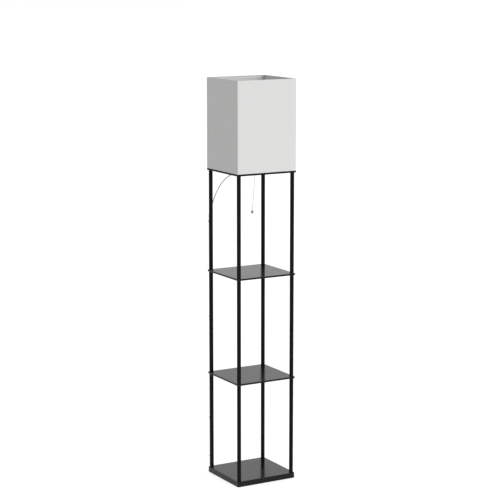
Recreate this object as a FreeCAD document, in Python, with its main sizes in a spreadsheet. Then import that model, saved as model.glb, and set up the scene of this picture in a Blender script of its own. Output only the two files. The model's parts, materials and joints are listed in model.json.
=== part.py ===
import FreeCAD, Part
import math
import os

import Sketcher

# Shelf floor lamp: four round posts in three lengths, two thin shelves, a weighted base, a welded top
# frame that carries the lamp holder, a square fabric shade, a bead pull chain and a mains cord.
# Millimetres. +Z is up, the front is -Y, and the origin is on the floor under the middle of the lamp.

Vector = FreeCAD.Vector
UP = Vector(0, 0, 1)

doc = FreeCAD.newDocument("ShelfFloorLamp")
dims = doc.addObject("Spreadsheet::Sheet", "dims")
levels = doc.addObject("App::VarSet", "levels")
parts = []

# ---------------------------------------------------------------------------------------------
# Driving dimensions
# ---------------------------------------------------------------------------------------------

# Posts
POST_SPACING_WIDTH = 240  # post centres, left to right
POST_SPACING_DEPTH = 225  # post centres, front to rear
POST_DIAMETER = 16  # outside of the tube
POST_WALL = 1  # tube wall
LOWER_POST_LENGTH = 390  # base to lower shelf
MIDDLE_POST_LENGTH = 412  # lower shelf to upper shelf
UPPER_POST_LENGTH = 400.5  # upper shelf to top frame

# Shelves
BOARD_THICKNESS = 7  # shelf board
BOARD_MARGIN = 10.8  # shelf edge beyond the post centres
BOARD_CORNER = 3  # shelf corner radius
BOARD_EDGE_ROUND = 0.5  # softened top edge of a shelf

# Base
FOOT_HEIGHT = 1  # rubber pad under the base
FOOT_DIAMETER = 20  # rubber pad
FOOT_INSET = 22  # pad centre inside the post centre
BASE_COVER_HEIGHT = 22  # folded steel cover
BASE_MARGIN = 10.4  # cover edge beyond the post centres
BASE_CORNER = 3  # cover corner radius
BASE_EDGE_ROUND = 0.8  # bend at the cover's top edge
BASE_WALL = 1.2  # cover sheet
BASE_PLATE_THICKNESS = 2  # closing board under the base
BASE_PLATE_CLEARANCE = 0.3  # closing board to cover
WEIGHT_CLEARANCE = 1.5  # weight slab to cover
COUNTERBORE_DEPTH = 6.5  # pocket for a bolt head in the weight slab
COUNTERBORE_DIAMETER = 14  # pocket for a bolt head in the weight slab
ACCESS_HOLE_DIAMETER = 12  # key hole in the closing board

# Post joints
BOLT_DIAMETER = 6  # thread of bolts, studs and screws
BOLT_CLEARANCE = 0.3  # radial, in a plain hole
THREAD_CLEARANCE = 0.05  # radial, in a threaded bush
BUSH_LENGTH = 18  # threaded bush in a tube end
BUSH_CLEARANCE = 0.05  # radial, bush in tube
THREAD_REACH = 16  # how far a thread goes into a bush
BOLT_HEAD_DIAMETER = 10  # base bolt head
BOLT_HEAD_HEIGHT = 6  # base bolt head
CAP_SCREW_HEAD_DIAMETER = 12  # screw head on the top frame
CAP_SCREW_HEAD_HEIGHT = 5  # screw head on the top frame

# Top frame
FRAME_BAR_WIDTH = 24  # flat bar round the top
FRAME_BAR_THICKNESS = 7  # flat bar round the top
CROSSBAR_WIDTH = 24  # strip that carries the lamp holder
CROSSBAR_THICKNESS = 3  # strip that carries the lamp holder
CROSSBAR_INSET = 8.7  # crossbar end inside the frame's edge

# Lamp holder
NIPPLE_DIAMETER = 10  # threaded tube through the crossbar
NIPPLE_BORE = 7  # threaded tube
NIPPLE_LENGTH = 20  # threaded tube
NIPPLE_BELOW = 8.5  # threaded tube below the crossbar's top
NIPPLE_CLEARANCE = 0.15  # radial, in crossbar and cap
NUT_ACROSS_FLATS = 14  # lock nut
NUT_HEIGHT = 4  # lock nut
HOLDER_CAP_DIAMETER = 34  # cup at the foot of the holder
HOLDER_CAP_HEIGHT = 14  # cup at the foot of the holder
HOLDER_CAP_WALL = 1.2  # cup at the foot of the holder
HOUSING_DIAMETER = 36  # switch housing
HOUSING_HEIGHT = 24  # switch housing
SWITCH_BOX_WIDTH = 18  # box for the pull switch
SWITCH_BOX_REACH = 40  # box front from the holder's axis
SWITCH_CAVITY_WIDTH = 12.4  # space round the drum
SWITCH_CAVITY_HEIGHT = 19  # space round the drum
SWITCH_CAVITY_DEPTH = 25  # space round the drum
SWITCH_COVER_THICKNESS = 2  # snap-in cover
SWITCH_COVER_CLEARANCE = 0.1  # cover in its seat
DRUM_RADIUS = 5.2  # drum that the chain turns
DRUM_WIDTH = 6  # drum that the chain turns
RATCHET_RADIUS = 7  # eight-sided ratchet beside the drum
RATCHET_WIDTH = 2  # eight-sided ratchet beside the drum
AXLE_DIAMETER = 3  # drum axle
AXLE_CLEARANCE = 0.05  # radial, drum on axle
SPRING_RADIUS = 5.5  # return spring
SPRING_WIDTH = 2  # return spring
SPRING_GAP = 0.4  # return spring to drum
INSULATOR_DIAMETER = 34  # sleeve round the screw shell
INSULATOR_WALL = 1.8  # sleeve round the screw shell
INSULATOR_HEIGHT = 27  # sleeve round the screw shell
SHELL_BORE = 27  # screw shell
SHELL_WALL = 0.5  # screw shell
SHELL_HEIGHT = 24  # screw shell
SHELL_FLOOR = 1  # screw shell
SHELL_FLOOR_HOLE = 14  # hole for the centre contact
CONTACT_DIAMETER = 9  # centre contact
CONTACT_HEIGHT = 2  # centre contact

# Pull chain
CHAIN_REACH = 31.2  # chain in front of the holder's axis
CHAIN_DRUM_GAP = 0.2  # bead to drum
BEAD_DIAMETER = 2.4  # chain bead
BEAD_PITCH = 3.3  # bead to bead
LINK_WIRE_DIAMETER = 0.8  # wire between beads
CHAIN_BEADS = 47  # beads on the hanging chain
TOP_LINK_BEADS = 7  # beads inside the outlet
CHAIN_TILT = 4.7  # degrees off plumb, as photographed
CHAIN_GAP = 0.3  # play at each end of the coupling
FERRULE_LENGTH = 12  # outlet under the switch box
FERRULE_DIAMETER = 8  # outlet under the switch box
FERRULE_BORE = 4  # outlet under the switch box
FERRULE_RIM = 1  # flare of the outlet's mouth
FERRULE_RIM_HEIGHT = 2.5  # flare of the outlet's mouth
COUPLING_DIAMETER = 3.4  # chain coupling
COUPLING_LENGTH = 7  # chain coupling
KNOB_DIAMETER = 11  # pull knob
KNOB_HEIGHT = 13  # pull knob
KNOB_NECK_DIAMETER = 3.6  # pull knob, at the chain
KNOB_FOOT_DIAMETER = 7.4  # pull knob, at the bottom

# Bulb
BULB_CONTACT_RADIUS = 4.5  # tip of the bulb
BULB_CONTACT_HEIGHT = 2.5  # tip of the bulb
BULB_CONTACT_GAP = 0.3  # tip to centre contact
BULB_CAP_DIAMETER = 26.2  # screw cap
BULB_CAP_HEIGHT = 23.5  # screw cap
BULB_CAP_CONE = 5.5  # tapered foot of the screw cap
BULB_CAP_FOOT_RADIUS = 6  # tapered foot of the screw cap
BULB_HOUSING_FOOT_RADIUS = 14  # bulb body above the cap
BULB_HOUSING_TOP_RADIUS = 27  # bulb body under the globe
BULB_HOUSING_HEIGHT = 38  # bulb body
GLOBE_RADIUS = 30  # opal globe
GLOBE_WALL = 1.2  # opal globe

# Shade
SHADE_MARGIN = 10.7  # outside of the shade beyond the post centres
SHADE_HEIGHT = 358.8  # shade
SHADE_GAP = 0.3  # shade above the top frame
SHADE_THICKNESS = 1.2  # fabric on its backing
SHADE_WIRE_DIAMETER = 3  # wire frame
SHADE_UPRIGHT_DIAMETER = 2.6  # thinner rod in each corner
SHADE_WIRE_CLEARANCE = 0.2  # wire frame to backing
SHADE_RING_CORNER = 6  # bend of a ring at its corner

# Cord
CORD_DIAMETER = 5  # mains cord
GLAND_BEARING = 131.5  # degrees from +X, direction of the cord's exit
GLAND_TILT = 25  # degrees down
GLAND_HEIGHT = 9.2  # gland root above the crossbar
GLAND_ROOT_REACH = 13  # gland root from the holder's axis
GLAND_LENGTH = 30  # tapered strain relief
GLAND_ROOT_RADIUS = 4.5  # tapered strain relief
GLAND_TIP_RADIUS = 3.2  # tapered strain relief
GLAND_CLEARANCE = 0.1  # radial, in the cap's wall
CLIP_HEIGHT = 8  # cord clip
CLIP_WALL = 1.1  # cord clip
CLIP_CLEARANCE = 0.1  # radial, on post and cord
CLIP_PAD_WIDTH = 6  # cord clip's foot on the post
TIE_WIDTH = 6  # tie round the hank
TIE_THICKNESS = 0.7  # tie round the hank
TIE_CLEARANCE = 0.3  # tie to cord
RELIEF_LENGTH = 18  # plug strain relief
RELIEF_TIP_RADIUS = 3.1  # plug strain relief
RELIEF_ROOT_RADIUS = 4.4  # plug strain relief
PLUG_LENGTH = 30  # plug body
PLUG_WIDTH = 20  # plug body
PLUG_THICKNESS = 12  # plug body
PLUG_ROUND = 3  # plug body edges
BLADE_LENGTH = 17.5  # plug blade
BLADE_WIDTH = 6.4  # plug blade
BLADE_THICKNESS = 1.5  # plug blade
BLADE_SPACING = 12.7  # plug blades, centre to centre


def driving_sizes():
    """Every size named above, under its name in small letters."""
    sizes = {}
    for name, number in globals().items():
        if name.isupper() and isinstance(number, (int, float)):
            sizes[name.lower()] = number
    return sizes


def fill_sheet():
    """Write each driving size on a row of its own: its name and its number."""
    for row, (alias, number) in enumerate(driving_sizes().items(), 1):
        dims.set("A%d" % row, alias)
        dims.set("B%d" % row, str(number))
        dims.setAlias("B%d" % row, alias)
    doc.recompute()


fill_sheet()


def size(alias):
    return float(getattr(dims, alias))


# Heights and places that several pieces share, each worked out from the driving dimensions.
DERIVED = [
    ("half_width", "dims.post_spacing_width / 2"),
    ("half_depth", "dims.post_spacing_depth / 2"),
    ("base_top", "dims.foot_height + dims.base_cover_height"),
    ("lower_shelf_bottom", "levels.base_top + dims.lower_post_length"),
    ("lower_shelf_top", "levels.lower_shelf_bottom + dims.board_thickness"),
    ("upper_shelf_bottom", "levels.lower_shelf_top + dims.middle_post_length"),
    ("upper_shelf_top", "levels.upper_shelf_bottom + dims.board_thickness"),
    ("frame_bottom", "levels.upper_shelf_top + dims.upper_post_length"),
    ("frame_top", "levels.frame_bottom + dims.frame_bar_thickness"),
    ("holder_seat", "levels.frame_top + dims.crossbar_thickness"),
    ("housing_bottom", "levels.holder_seat + dims.holder_cap_height"),
    ("housing_top", "levels.housing_bottom + dims.housing_height"),
    ("drum_height", "levels.housing_bottom + dims.housing_height / 2"),
    ("drum_reach", "dims.chain_reach - dims.drum_radius - dims.chain_drum_gap - dims.bead_diameter / 2"),
    ("outlet_height", "levels.housing_bottom - dims.ferrule_length"),
    ("coupling_top", "levels.outlet_height - dims.chain_gap"),
    ("chain_top", "levels.coupling_top - dims.coupling_length - dims.chain_gap"),
    ("chain_length", "dims.chain_beads * dims.bead_pitch"),
    ("bulb_bottom", "levels.housing_top + dims.contact_height + dims.bulb_contact_gap"),
    ("bulb_cap_bottom", "levels.bulb_bottom + dims.bulb_contact_height"),
    ("bulb_cap_top", "levels.bulb_cap_bottom + dims.bulb_cap_height"),
    ("bulb_housing_top", "levels.bulb_cap_top + dims.bulb_housing_height"),
    ("shade_bottom", "levels.frame_top + dims.shade_gap"),
    ("shade_top", "levels.shade_bottom + dims.shade_height"),
    ("shade_half_width", "levels.half_width + dims.shade_margin"),
    ("shade_half_depth", "levels.half_depth + dims.shade_margin"),
    ("frame_half_width", "levels.half_width + dims.board_margin"),
    ("frame_half_depth", "levels.half_depth + dims.board_margin"),
    ("plain_hole", "dims.bolt_diameter + 2 * dims.bolt_clearance"),
    ("bush_bore", "dims.bolt_diameter + 2 * dims.thread_clearance"),
    ("bush_diameter", "dims.post_diameter - 2 * dims.post_wall - 2 * dims.bush_clearance"),
]


def fill_levels():
    for name, expression in DERIVED:
        levels.addProperty("App::PropertyFloat", name, "Derived", "")
        levels.setExpression(name, expression)
    doc.recompute()


def level(name):
    return float(getattr(levels, name))


fill_levels()

# ---------------------------------------------------------------------------------------------
# Drawing helpers
# ---------------------------------------------------------------------------------------------

def finished(item, label):
    """Name a finished piece and put it on the list of pieces that are written out."""
    item.Label = label
    parts.append(item)
    return item


def place(item, x="0", y="0", z="0"):
    item.setExpression(".Placement.Base.x", x)
    item.setExpression(".Placement.Base.y", y)
    item.setExpression(".Placement.Base.z", z)
    return item


def new_body(label):
    body = doc.addObject("PartDesign::Body", label + "_body")
    body.AllowCompound = True
    return finished(body, label)


def new_sketch(body, role="XY_Plane", offset="0"):
    """A sketch on one of the body's own planes, moved along the plane's normal by offset."""
    sketch = body.newObject("Sketcher::SketchObject", "sketch")
    plane = [item for item in body.Origin.OriginFeatures if item.Role == role][0]
    sketch.AttachmentSupport = (plane, [""])
    sketch.MapMode = "FlatFace"
    if offset != "0":
        sketch.setExpression(".AttachmentOffset.Base.z", offset)
    return sketch


def pin_point(sketch, geometry, position, x, y, draft):
    """Hold a point at (x, y), both given as expressions of the driving dimensions."""
    horizontal, vertical = -1, -2
    axes = (("DistanceX", x, vertical, draft.x), ("DistanceY", y, horizontal, draft.y))
    for kind, expression, axis, start in axes:
        if expression == "0":
            sketch.addConstraint(Sketcher.Constraint("PointOnObject", geometry, position, axis))
            continue
        constraint = Sketcher.Constraint(kind, horizontal, 1, geometry, position, start)
        index = sketch.addConstraint(constraint)
        sketch.setExpression("Constraints[%d]" % index, expression)


def draw_polygon(sketch, corners):
    """A closed outline through corners, each a pair of expressions."""
    count = len(corners)
    drafts = []
    for index in range(count):
        angle = 2 * math.pi * (index + 0.5) / count
        drafts.append(Vector(math.cos(angle), math.sin(angle), 0) * 10)
    lines = []
    for index in range(count):
        line = Part.LineSegment(drafts[index], drafts[(index + 1) % count])
        lines.append(sketch.addGeometry(line, False))
    for index in range(count):
        follower = lines[(index + 1) % count]
        sketch.addConstraint(Sketcher.Constraint("Coincident", lines[index], 2, follower, 1))
    for index, (x, y) in enumerate(corners):
        pin_point(sketch, lines[index], 1, x, y, drafts[index])


def draw_rectangle(sketch, half_x, half_y, x="0", y="0"):
    """A rectangle about (x, y)."""
    left = "%s - (%s)" % (x, half_x)
    right = "%s + (%s)" % (x, half_x)
    near = "%s - (%s)" % (y, half_y)
    far = "%s + (%s)" % (y, half_y)
    draw_polygon(sketch, [(left, near), (right, near), (right, far), (left, far)])


def draw_circle(sketch, diameter, x="0", y="0"):
    draft = Vector(10, 10, 0)
    geometry = sketch.addGeometry(Part.Circle(draft, UP, 1.0), False)
    index = sketch.addConstraint(Sketcher.Constraint("Diameter", geometry, 2.0))
    sketch.setExpression("Constraints[%d]" % index, diameter)
    pin_point(sketch, geometry, 3, x, y, draft)


POST_CORNERS = [
    ("front_left", "-levels.half_width", "-levels.half_depth"),
    ("front_right", "levels.half_width", "-levels.half_depth"),
    ("rear_left", "-levels.half_width", "levels.half_depth"),
    ("rear_right", "levels.half_width", "levels.half_depth"),
]


def draw_corner_circles(sketch, diameter):
    """One circle on each post centre."""
    for _, x, y in POST_CORNERS:
        draw_circle(sketch, diameter, x, y)


def add_pad(body, sketch, length):
    pad = body.newObject("PartDesign::Pad", "pad")
    pad.Profile = sketch
    pad.setExpression("Length", length)
    body.Tip = pad
    return pad


def add_pocket(body, sketch, length):
    """Cut away from the sketch upwards, along its normal."""
    pocket = body.newObject("PartDesign::Pocket", "pocket")
    pocket.Profile = sketch
    pocket.Reversed = True
    pocket.setExpression("Length", length)
    body.Tip = pocket
    return pocket


def add_fillet(body, base, edge_names, radius):
    fillet = body.newObject("PartDesign::Fillet", "fillet")
    fillet.Base = (base, edge_names)
    fillet.setExpression("Radius", radius)
    body.Tip = fillet
    return fillet


def upright_edges(feature):
    """The names of the feature's straight edges that stand upright."""
    doc.recompute()
    names = []
    for index, edge in enumerate(feature.Shape.Edges, 1):
        box = edge.BoundBox
        if box.XLength < 1e-6 and box.YLength < 1e-6:
            names.append("Edge%d" % index)
    return names


def top_edges(feature):
    """The names of the edges round the feature's top face."""
    doc.recompute()
    top = feature.Shape.BoundBox.ZMax
    names = []
    for index, edge in enumerate(feature.Shape.Edges, 1):
        if edge.BoundBox.ZMin > top - 1e-6:
            names.append("Edge%d" % index)
    return names


def revolved_body(label, profile):
    """A turned piece about Z from a closed profile of (radius, height) expressions."""
    body = new_body(label)
    sketch = new_sketch(body, "XZ_Plane")
    draw_polygon(sketch, profile)
    turn = body.newObject("PartDesign::Revolution", "revolution")
    turn.Profile = sketch
    turn.ReferenceAxis = (sketch, ["V_Axis"])
    turn.Angle = 360
    body.Tip = turn
    return body


def cylinder(name, radius, height, x="0", y="0", z="0"):
    item = doc.addObject("Part::Cylinder", name)
    item.setExpression("Radius", radius)
    item.setExpression("Height", height)
    return place(item, x, y, z)


def centred_box(name, half_x, y_low, y_high, z_low, z_high):
    """A box that is centred across X and runs between two depths and two heights."""
    item = doc.addObject("Part::Box", name)
    item.setExpression("Length", "2 * (%s)" % half_x)
    item.setExpression("Width", "(%s) - (%s)" % (y_high, y_low))
    item.setExpression("Height", "(%s) - (%s)" % (z_high, z_low))
    return place(item, "-(%s)" % half_x, y_low, z_low)


def cut(name, base, tool):
    item = doc.addObject("Part::Cut", name)
    item.Base = base
    item.Tool = tool
    return item


def fuse(name, *shapes):
    item = doc.addObject("Part::MultiFuse", name)
    item.Shapes = list(shapes)
    return item


def turned(item, axis, degrees):
    """Turn a piece about an axis through its own origin, keeping the place that it is bound to."""
    item.setExpression(".Placement.Rotation.Angle", degrees)
    item.Placement.Rotation.Axis = axis
    return item


# ---------------------------------------------------------------------------------------------
# Base
# ---------------------------------------------------------------------------------------------

BASE_HALF_WIDTH = "levels.half_width + dims.base_margin"
BASE_HALF_DEPTH = "levels.half_depth + dims.base_margin"


def make_base_cover():
    body = new_body("base_cover")
    outline = new_sketch(body)
    draw_rectangle(outline, BASE_HALF_WIDTH, BASE_HALF_DEPTH)
    block = add_pad(body, outline, "dims.base_cover_height")
    rounded = add_fillet(body, block, upright_edges(block), "dims.base_corner")
    add_fillet(body, rounded, top_edges(rounded), "dims.base_edge_round")
    inside = new_sketch(body)
    draw_rectangle(inside, BASE_HALF_WIDTH + " - dims.base_wall", BASE_HALF_DEPTH + " - dims.base_wall")
    add_pocket(body, inside, "dims.base_cover_height - dims.base_wall")
    holes = new_sketch(body)
    draw_corner_circles(holes, "levels.plain_hole")
    add_pocket(body, holes, "dims.base_cover_height")
    place(body, z="dims.foot_height")


def make_base_weight():
    """The slab fills the cover's height above the closing board; bolt heads sit in its pockets."""
    body = new_body("base_weight")
    outline = new_sketch(body)
    inset = " - dims.base_wall - dims.weight_clearance"
    draw_rectangle(outline, BASE_HALF_WIDTH + inset, BASE_HALF_DEPTH + inset)
    height = "dims.base_cover_height - dims.base_wall - dims.base_plate_thickness"
    add_pad(body, outline, height)
    pockets = new_sketch(body)
    draw_corner_circles(pockets, "dims.counterbore_diameter")
    add_pocket(body, pockets, "dims.counterbore_depth")
    holes = new_sketch(body)
    draw_corner_circles(holes, "levels.plain_hole")
    add_pocket(body, holes, height)
    place(body, z="dims.foot_height + dims.base_plate_thickness")


def make_base_bottom_plate():
    body = new_body("base_bottom_plate")
    outline = new_sketch(body)
    inset = " - dims.base_wall - dims.base_plate_clearance"
    draw_rectangle(outline, BASE_HALF_WIDTH + inset, BASE_HALF_DEPTH + inset)
    add_pad(body, outline, "dims.base_plate_thickness")
    holes = new_sketch(body)
    draw_corner_circles(holes, "dims.access_hole_diameter")
    add_pocket(body, holes, "dims.base_plate_thickness")
    place(body, z="dims.foot_height")


def make_rubber_feet():
    body = new_body("rubber_feet")
    outline = new_sketch(body)
    for side in ("-", ""):
        for end in ("-", ""):
            x = "%s(levels.half_width - dims.foot_inset)" % side
            y = "%s(levels.half_depth - dims.foot_inset)" % end
            draw_circle(outline, "dims.foot_diameter", x, y)
    add_pad(body, outline, "dims.foot_height")


def make_base_bolts():
    body = new_body("base_bolts")
    seat = "dims.foot_height + dims.base_plate_thickness + dims.counterbore_depth"
    heads = new_sketch(body)
    draw_corner_circles(heads, "dims.bolt_head_diameter")
    add_pad(body, heads, "dims.bolt_head_height")
    shanks = new_sketch(body)
    draw_corner_circles(shanks, "dims.bolt_diameter")
    add_pad(body, shanks, "dims.bolt_head_height + levels.base_top + dims.thread_reach - (%s)" % seat)
    place(body, z="%s - dims.bolt_head_height" % seat)


# ---------------------------------------------------------------------------------------------
# Posts, shelves and what joins them
# ---------------------------------------------------------------------------------------------

POST_RUNS = [
    ("lower", "levels.base_top", "dims.lower_post_length"),
    ("middle", "levels.lower_shelf_top", "dims.middle_post_length"),
    ("upper", "levels.upper_shelf_top", "dims.upper_post_length"),
]


def make_posts():
    for run, foot, length in POST_RUNS:
        for corner, x, y in POST_CORNERS:
            body = new_body("%s_post_%s" % (run, corner))
            ring = new_sketch(body)
            draw_circle(ring, "dims.post_diameter")
            draw_circle(ring, "dims.post_diameter - 2 * dims.post_wall")
            add_pad(body, ring, length)
            place(body, x, y, foot)


def make_post_bushes():
    """A threaded bush in each end of each tube."""
    body = new_body("post_bushes")
    for _, foot, length in POST_RUNS:
        for height in (foot, "%s + %s - dims.bush_length" % (foot, length)):
            rings = new_sketch(body, offset=height)
            draw_corner_circles(rings, "levels.bush_diameter")
            draw_corner_circles(rings, "levels.bush_bore")
            add_pad(body, rings, "dims.bush_length")


def make_shelf(label, height):
    body = new_body(label)
    outline = new_sketch(body)
    draw_rectangle(outline, "levels.frame_half_width", "levels.frame_half_depth")
    board = add_pad(body, outline, "dims.board_thickness")
    rounded = add_fillet(body, board, upright_edges(board), "dims.board_corner")
    add_fillet(body, rounded, top_edges(rounded), "dims.board_edge_round")
    holes = new_sketch(body)
    draw_corner_circles(holes, "levels.plain_hole")
    add_pocket(body, holes, "dims.board_thickness")
    place(body, z=height)


def make_shelf_studs():
    """Studs that run through each shelf into the tubes above and below."""
    body = new_body("shelf_studs")
    for shelf in ("levels.lower_shelf_bottom", "levels.upper_shelf_bottom"):
        circles = new_sketch(body, offset="%s - dims.thread_reach" % shelf)
        draw_corner_circles(circles, "dims.bolt_diameter")
        add_pad(body, circles, "dims.board_thickness + 2 * dims.thread_reach")


# ---------------------------------------------------------------------------------------------
# Top frame
# ---------------------------------------------------------------------------------------------


def make_long_bar(label, side):
    """The front or rear bar: it runs the full width and sits on two posts."""
    body = new_body(label)
    outline = new_sketch(body)
    middle = "%s(levels.frame_half_depth - dims.frame_bar_width / 2)" % side
    draw_rectangle(outline, "levels.frame_half_width", "dims.frame_bar_width / 2", y=middle)
    add_pad(body, outline, "dims.frame_bar_thickness")
    holes = new_sketch(body)
    for x in ("-levels.half_width", "levels.half_width"):
        draw_circle(holes, "levels.plain_hole", x, side + "levels.half_depth")
    add_pocket(body, holes, "dims.frame_bar_thickness")
    place(body, z="levels.frame_bottom")


def make_side_bar(label, side):
    """The left or right bar: it is welded between the front and rear bars."""
    body = new_body(label)
    outline = new_sketch(body)
    middle = "%s(levels.frame_half_width - dims.frame_bar_width / 2)" % side
    half_length = "levels.frame_half_depth - dims.frame_bar_width"
    draw_rectangle(outline, "dims.frame_bar_width / 2", half_length, x=middle)
    add_pad(body, outline, "dims.frame_bar_thickness")
    place(body, z="levels.frame_bottom")


def make_holder_crossbar():
    body = new_body("holder_crossbar")
    outline = new_sketch(body)
    draw_rectangle(outline, "levels.frame_half_width - dims.crossbar_inset", "dims.crossbar_width / 2")
    draw_circle(outline, "dims.nipple_diameter + 2 * dims.nipple_clearance")
    add_pad(body, outline, "dims.crossbar_thickness")
    place(body, z="levels.frame_top")


def make_cap_screws():
    """The screws that hold the frame on the posts; the shade is located round their heads."""
    body = new_body("frame_cap_screws")
    shanks = new_sketch(body)
    draw_corner_circles(shanks, "dims.bolt_diameter")
    add_pad(body, shanks, "dims.thread_reach + dims.frame_bar_thickness")
    heads = new_sketch(body, offset="dims.thread_reach + dims.frame_bar_thickness")
    draw_corner_circles(heads, "dims.cap_screw_head_diameter")
    add_pad(body, heads, "dims.cap_screw_head_height")
    place(body, z="levels.frame_bottom - dims.thread_reach")


# ---------------------------------------------------------------------------------------------
# Lamp holder with its pull switch
# ---------------------------------------------------------------------------------------------


def make_holder_nipple():
    body = new_body("holder_nipple")
    ring = new_sketch(body)
    draw_circle(ring, "dims.nipple_diameter")
    draw_circle(ring, "dims.nipple_bore")
    add_pad(body, ring, "dims.nipple_length")
    place(body, z="levels.holder_seat - dims.nipple_below")


def make_nipple_nut():
    blank = doc.addObject("Part::Prism", "nut_blank")
    blank.Polygon = 6
    blank.setExpression("Circumradius", "dims.nut_across_flats / 2 / cos(30)")
    blank.setExpression("Height", "dims.nut_height")
    seat = "levels.frame_top - dims.nut_height"
    place(blank, z=seat)
    bore = cylinder("nut_bore", "dims.nipple_diameter / 2 + dims.thread_clearance", "dims.nut_height", z=seat)
    finished(cut("nut", blank, bore), "nipple_nut")


def gland_cone(name, clearance):
    """The strain relief's taper, from inside the cap's wall out and down along the cord's exit."""
    cone = doc.addObject("Part::Cone", name)
    cone.setExpression("Radius1", "dims.gland_root_radius + %s" % clearance)
    cone.setExpression("Radius2", "dims.gland_tip_radius + %s" % clearance)
    cone.setExpression("Height", "dims.gland_length")
    place(cone,
          "dims.gland_root_reach * cos(dims.gland_bearing)",
          "dims.gland_root_reach * sin(dims.gland_bearing)",
          "levels.holder_seat + dims.gland_height")
    bearing = math.radians(size("gland_bearing"))
    sideways = Vector(-math.sin(bearing), math.cos(bearing), 0)
    return turned(cone, sideways, "90 + dims.gland_tilt")


def make_holder_cap():
    """A cup on the crossbar: the nipple comes up through its floor, the cord leaves by its wall."""
    outside = cylinder("cap_outside", "dims.holder_cap_diameter / 2", "dims.holder_cap_height",
                       z="levels.holder_seat")
    inside = cylinder("cap_inside", "dims.holder_cap_diameter / 2 - dims.holder_cap_wall",
                      "dims.holder_cap_height", z="levels.holder_seat + dims.holder_cap_wall")
    hole = cylinder("cap_nipple_hole", "dims.nipple_diameter / 2 + dims.nipple_clearance",
                    "dims.holder_cap_height", z="levels.holder_seat")
    hollow = fuse("cap_hollow", inside, hole, gland_cone("cap_gland_hole", "dims.gland_clearance"))
    finished(cut("cap", outside, hollow), "holder_cap")


def make_cord_gland():
    finished(gland_cone("gland", "0"), "cord_gland")


DRUM_DEPTH = "-levels.drum_reach"
BOX_FRONT = "-dims.switch_box_reach"
CAVITY_LOW = "levels.drum_height - dims.switch_cavity_height / 2"
CAVITY_HIGH = "levels.drum_height + dims.switch_cavity_height / 2"


def sideways_cylinder(name, radius, x_low, length):
    """A cylinder along X on the drum's axis."""
    item = cylinder(name, radius, length, x_low, DRUM_DEPTH, "levels.drum_height")
    return turned(item, Vector(0, 1, 0), "90")


def make_switch_housing():
    """A round housing with a box at the front for the drum; the box is open at its front."""
    drum = cylinder("housing_round", "dims.housing_diameter / 2", "dims.housing_height",
                    z="levels.housing_bottom")
    box = centred_box("housing_box", "dims.switch_box_width / 2", BOX_FRONT, "0",
                      "levels.housing_bottom", "levels.housing_top")
    solid = fuse("housing_solid", drum, box)
    cavity = centred_box("housing_cavity", "dims.switch_cavity_width / 2", BOX_FRONT,
                         BOX_FRONT + " + dims.switch_cavity_depth", CAVITY_LOW, CAVITY_HIGH)
    outlet = cylinder("housing_outlet", "dims.ferrule_bore / 2", "dims.housing_height / 2",
                      y="-dims.chain_reach", z="levels.housing_bottom")
    axle_hole = sideways_cylinder("housing_axle_hole", "dims.axle_diameter / 2 + dims.axle_clearance",
                                  "-dims.switch_box_width / 2", "dims.switch_box_width")
    hollow = fuse("housing_hollow", cavity, outlet, axle_hole)
    finished(cut("housing", solid, hollow), "switch_housing")


def make_switch_cover():
    item = centred_box("cover", "dims.switch_cavity_width / 2 - dims.switch_cover_clearance", BOX_FRONT,
                       BOX_FRONT + " + dims.switch_cover_thickness",
                       CAVITY_LOW + " + dims.switch_cover_clearance",
                       CAVITY_HIGH + " - dims.switch_cover_clearance")
    finished(item, "switch_cover")


def make_drum_axle():
    axle = sideways_cylinder("axle", "dims.axle_diameter / 2", "-dims.switch_box_width / 2",
                             "dims.switch_box_width")
    finished(axle, "drum_axle")


def make_ratchet_drum():
    """The drum that the chain turns, with an eight-sided ratchet on its right side."""
    drum = sideways_cylinder("drum_core", "dims.drum_radius", "-dims.drum_width / 2", "dims.drum_width")
    ratchet = doc.addObject("Part::Prism", "drum_ratchet")
    ratchet.Polygon = 8
    ratchet.setExpression("Circumradius", "dims.ratchet_radius")
    ratchet.setExpression("Height", "dims.ratchet_width")
    place(ratchet, "dims.drum_width / 2", DRUM_DEPTH, "levels.drum_height")
    turned(ratchet, Vector(0, 1, 0), "90")
    bore = sideways_cylinder("drum_bore", "dims.axle_diameter / 2 + dims.axle_clearance",
                             "-dims.drum_width / 2", "dims.drum_width + dims.ratchet_width")
    finished(cut("drum", fuse("drum_solid", drum, ratchet), bore), "ratchet_drum")


def make_return_spring():
    """The flat wound spring beside the drum, as its closed outer shape."""
    left = "-dims.drum_width / 2 - dims.spring_gap - dims.spring_width"
    disc = sideways_cylinder("spring_disc", "dims.spring_radius", left, "dims.spring_width")
    bore = sideways_cylinder("spring_bore", "dims.axle_diameter / 2 + dims.axle_clearance", left,
                             "dims.spring_width")
    finished(cut("spring", disc, bore), "return_spring")


def make_socket():
    sleeve = revolved_body("socket_insulator", [
        ("dims.insulator_diameter / 2 - dims.insulator_wall", "0"),
        ("dims.insulator_diameter / 2", "0"),
        ("dims.insulator_diameter / 2", "dims.insulator_height"),
        ("dims.insulator_diameter / 2 - dims.insulator_wall", "dims.insulator_height"),
    ])
    place(sleeve, z="levels.housing_top")
    shell = revolved_body("screw_shell", [
        ("dims.shell_floor_hole / 2", "0"),
        ("dims.shell_bore / 2 + dims.shell_wall", "0"),
        ("dims.shell_bore / 2 + dims.shell_wall", "dims.shell_height"),
        ("dims.shell_bore / 2", "dims.shell_height"),
        ("dims.shell_bore / 2", "dims.shell_floor"),
        ("dims.shell_floor_hole / 2", "dims.shell_floor"),
    ])
    place(shell, z="levels.housing_top")
    contact = cylinder("contact", "dims.contact_diameter / 2", "dims.contact_height", z="levels.housing_top")
    finished(contact, "centre_contact")


# ---------------------------------------------------------------------------------------------
# Bulb
# ---------------------------------------------------------------------------------------------


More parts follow.
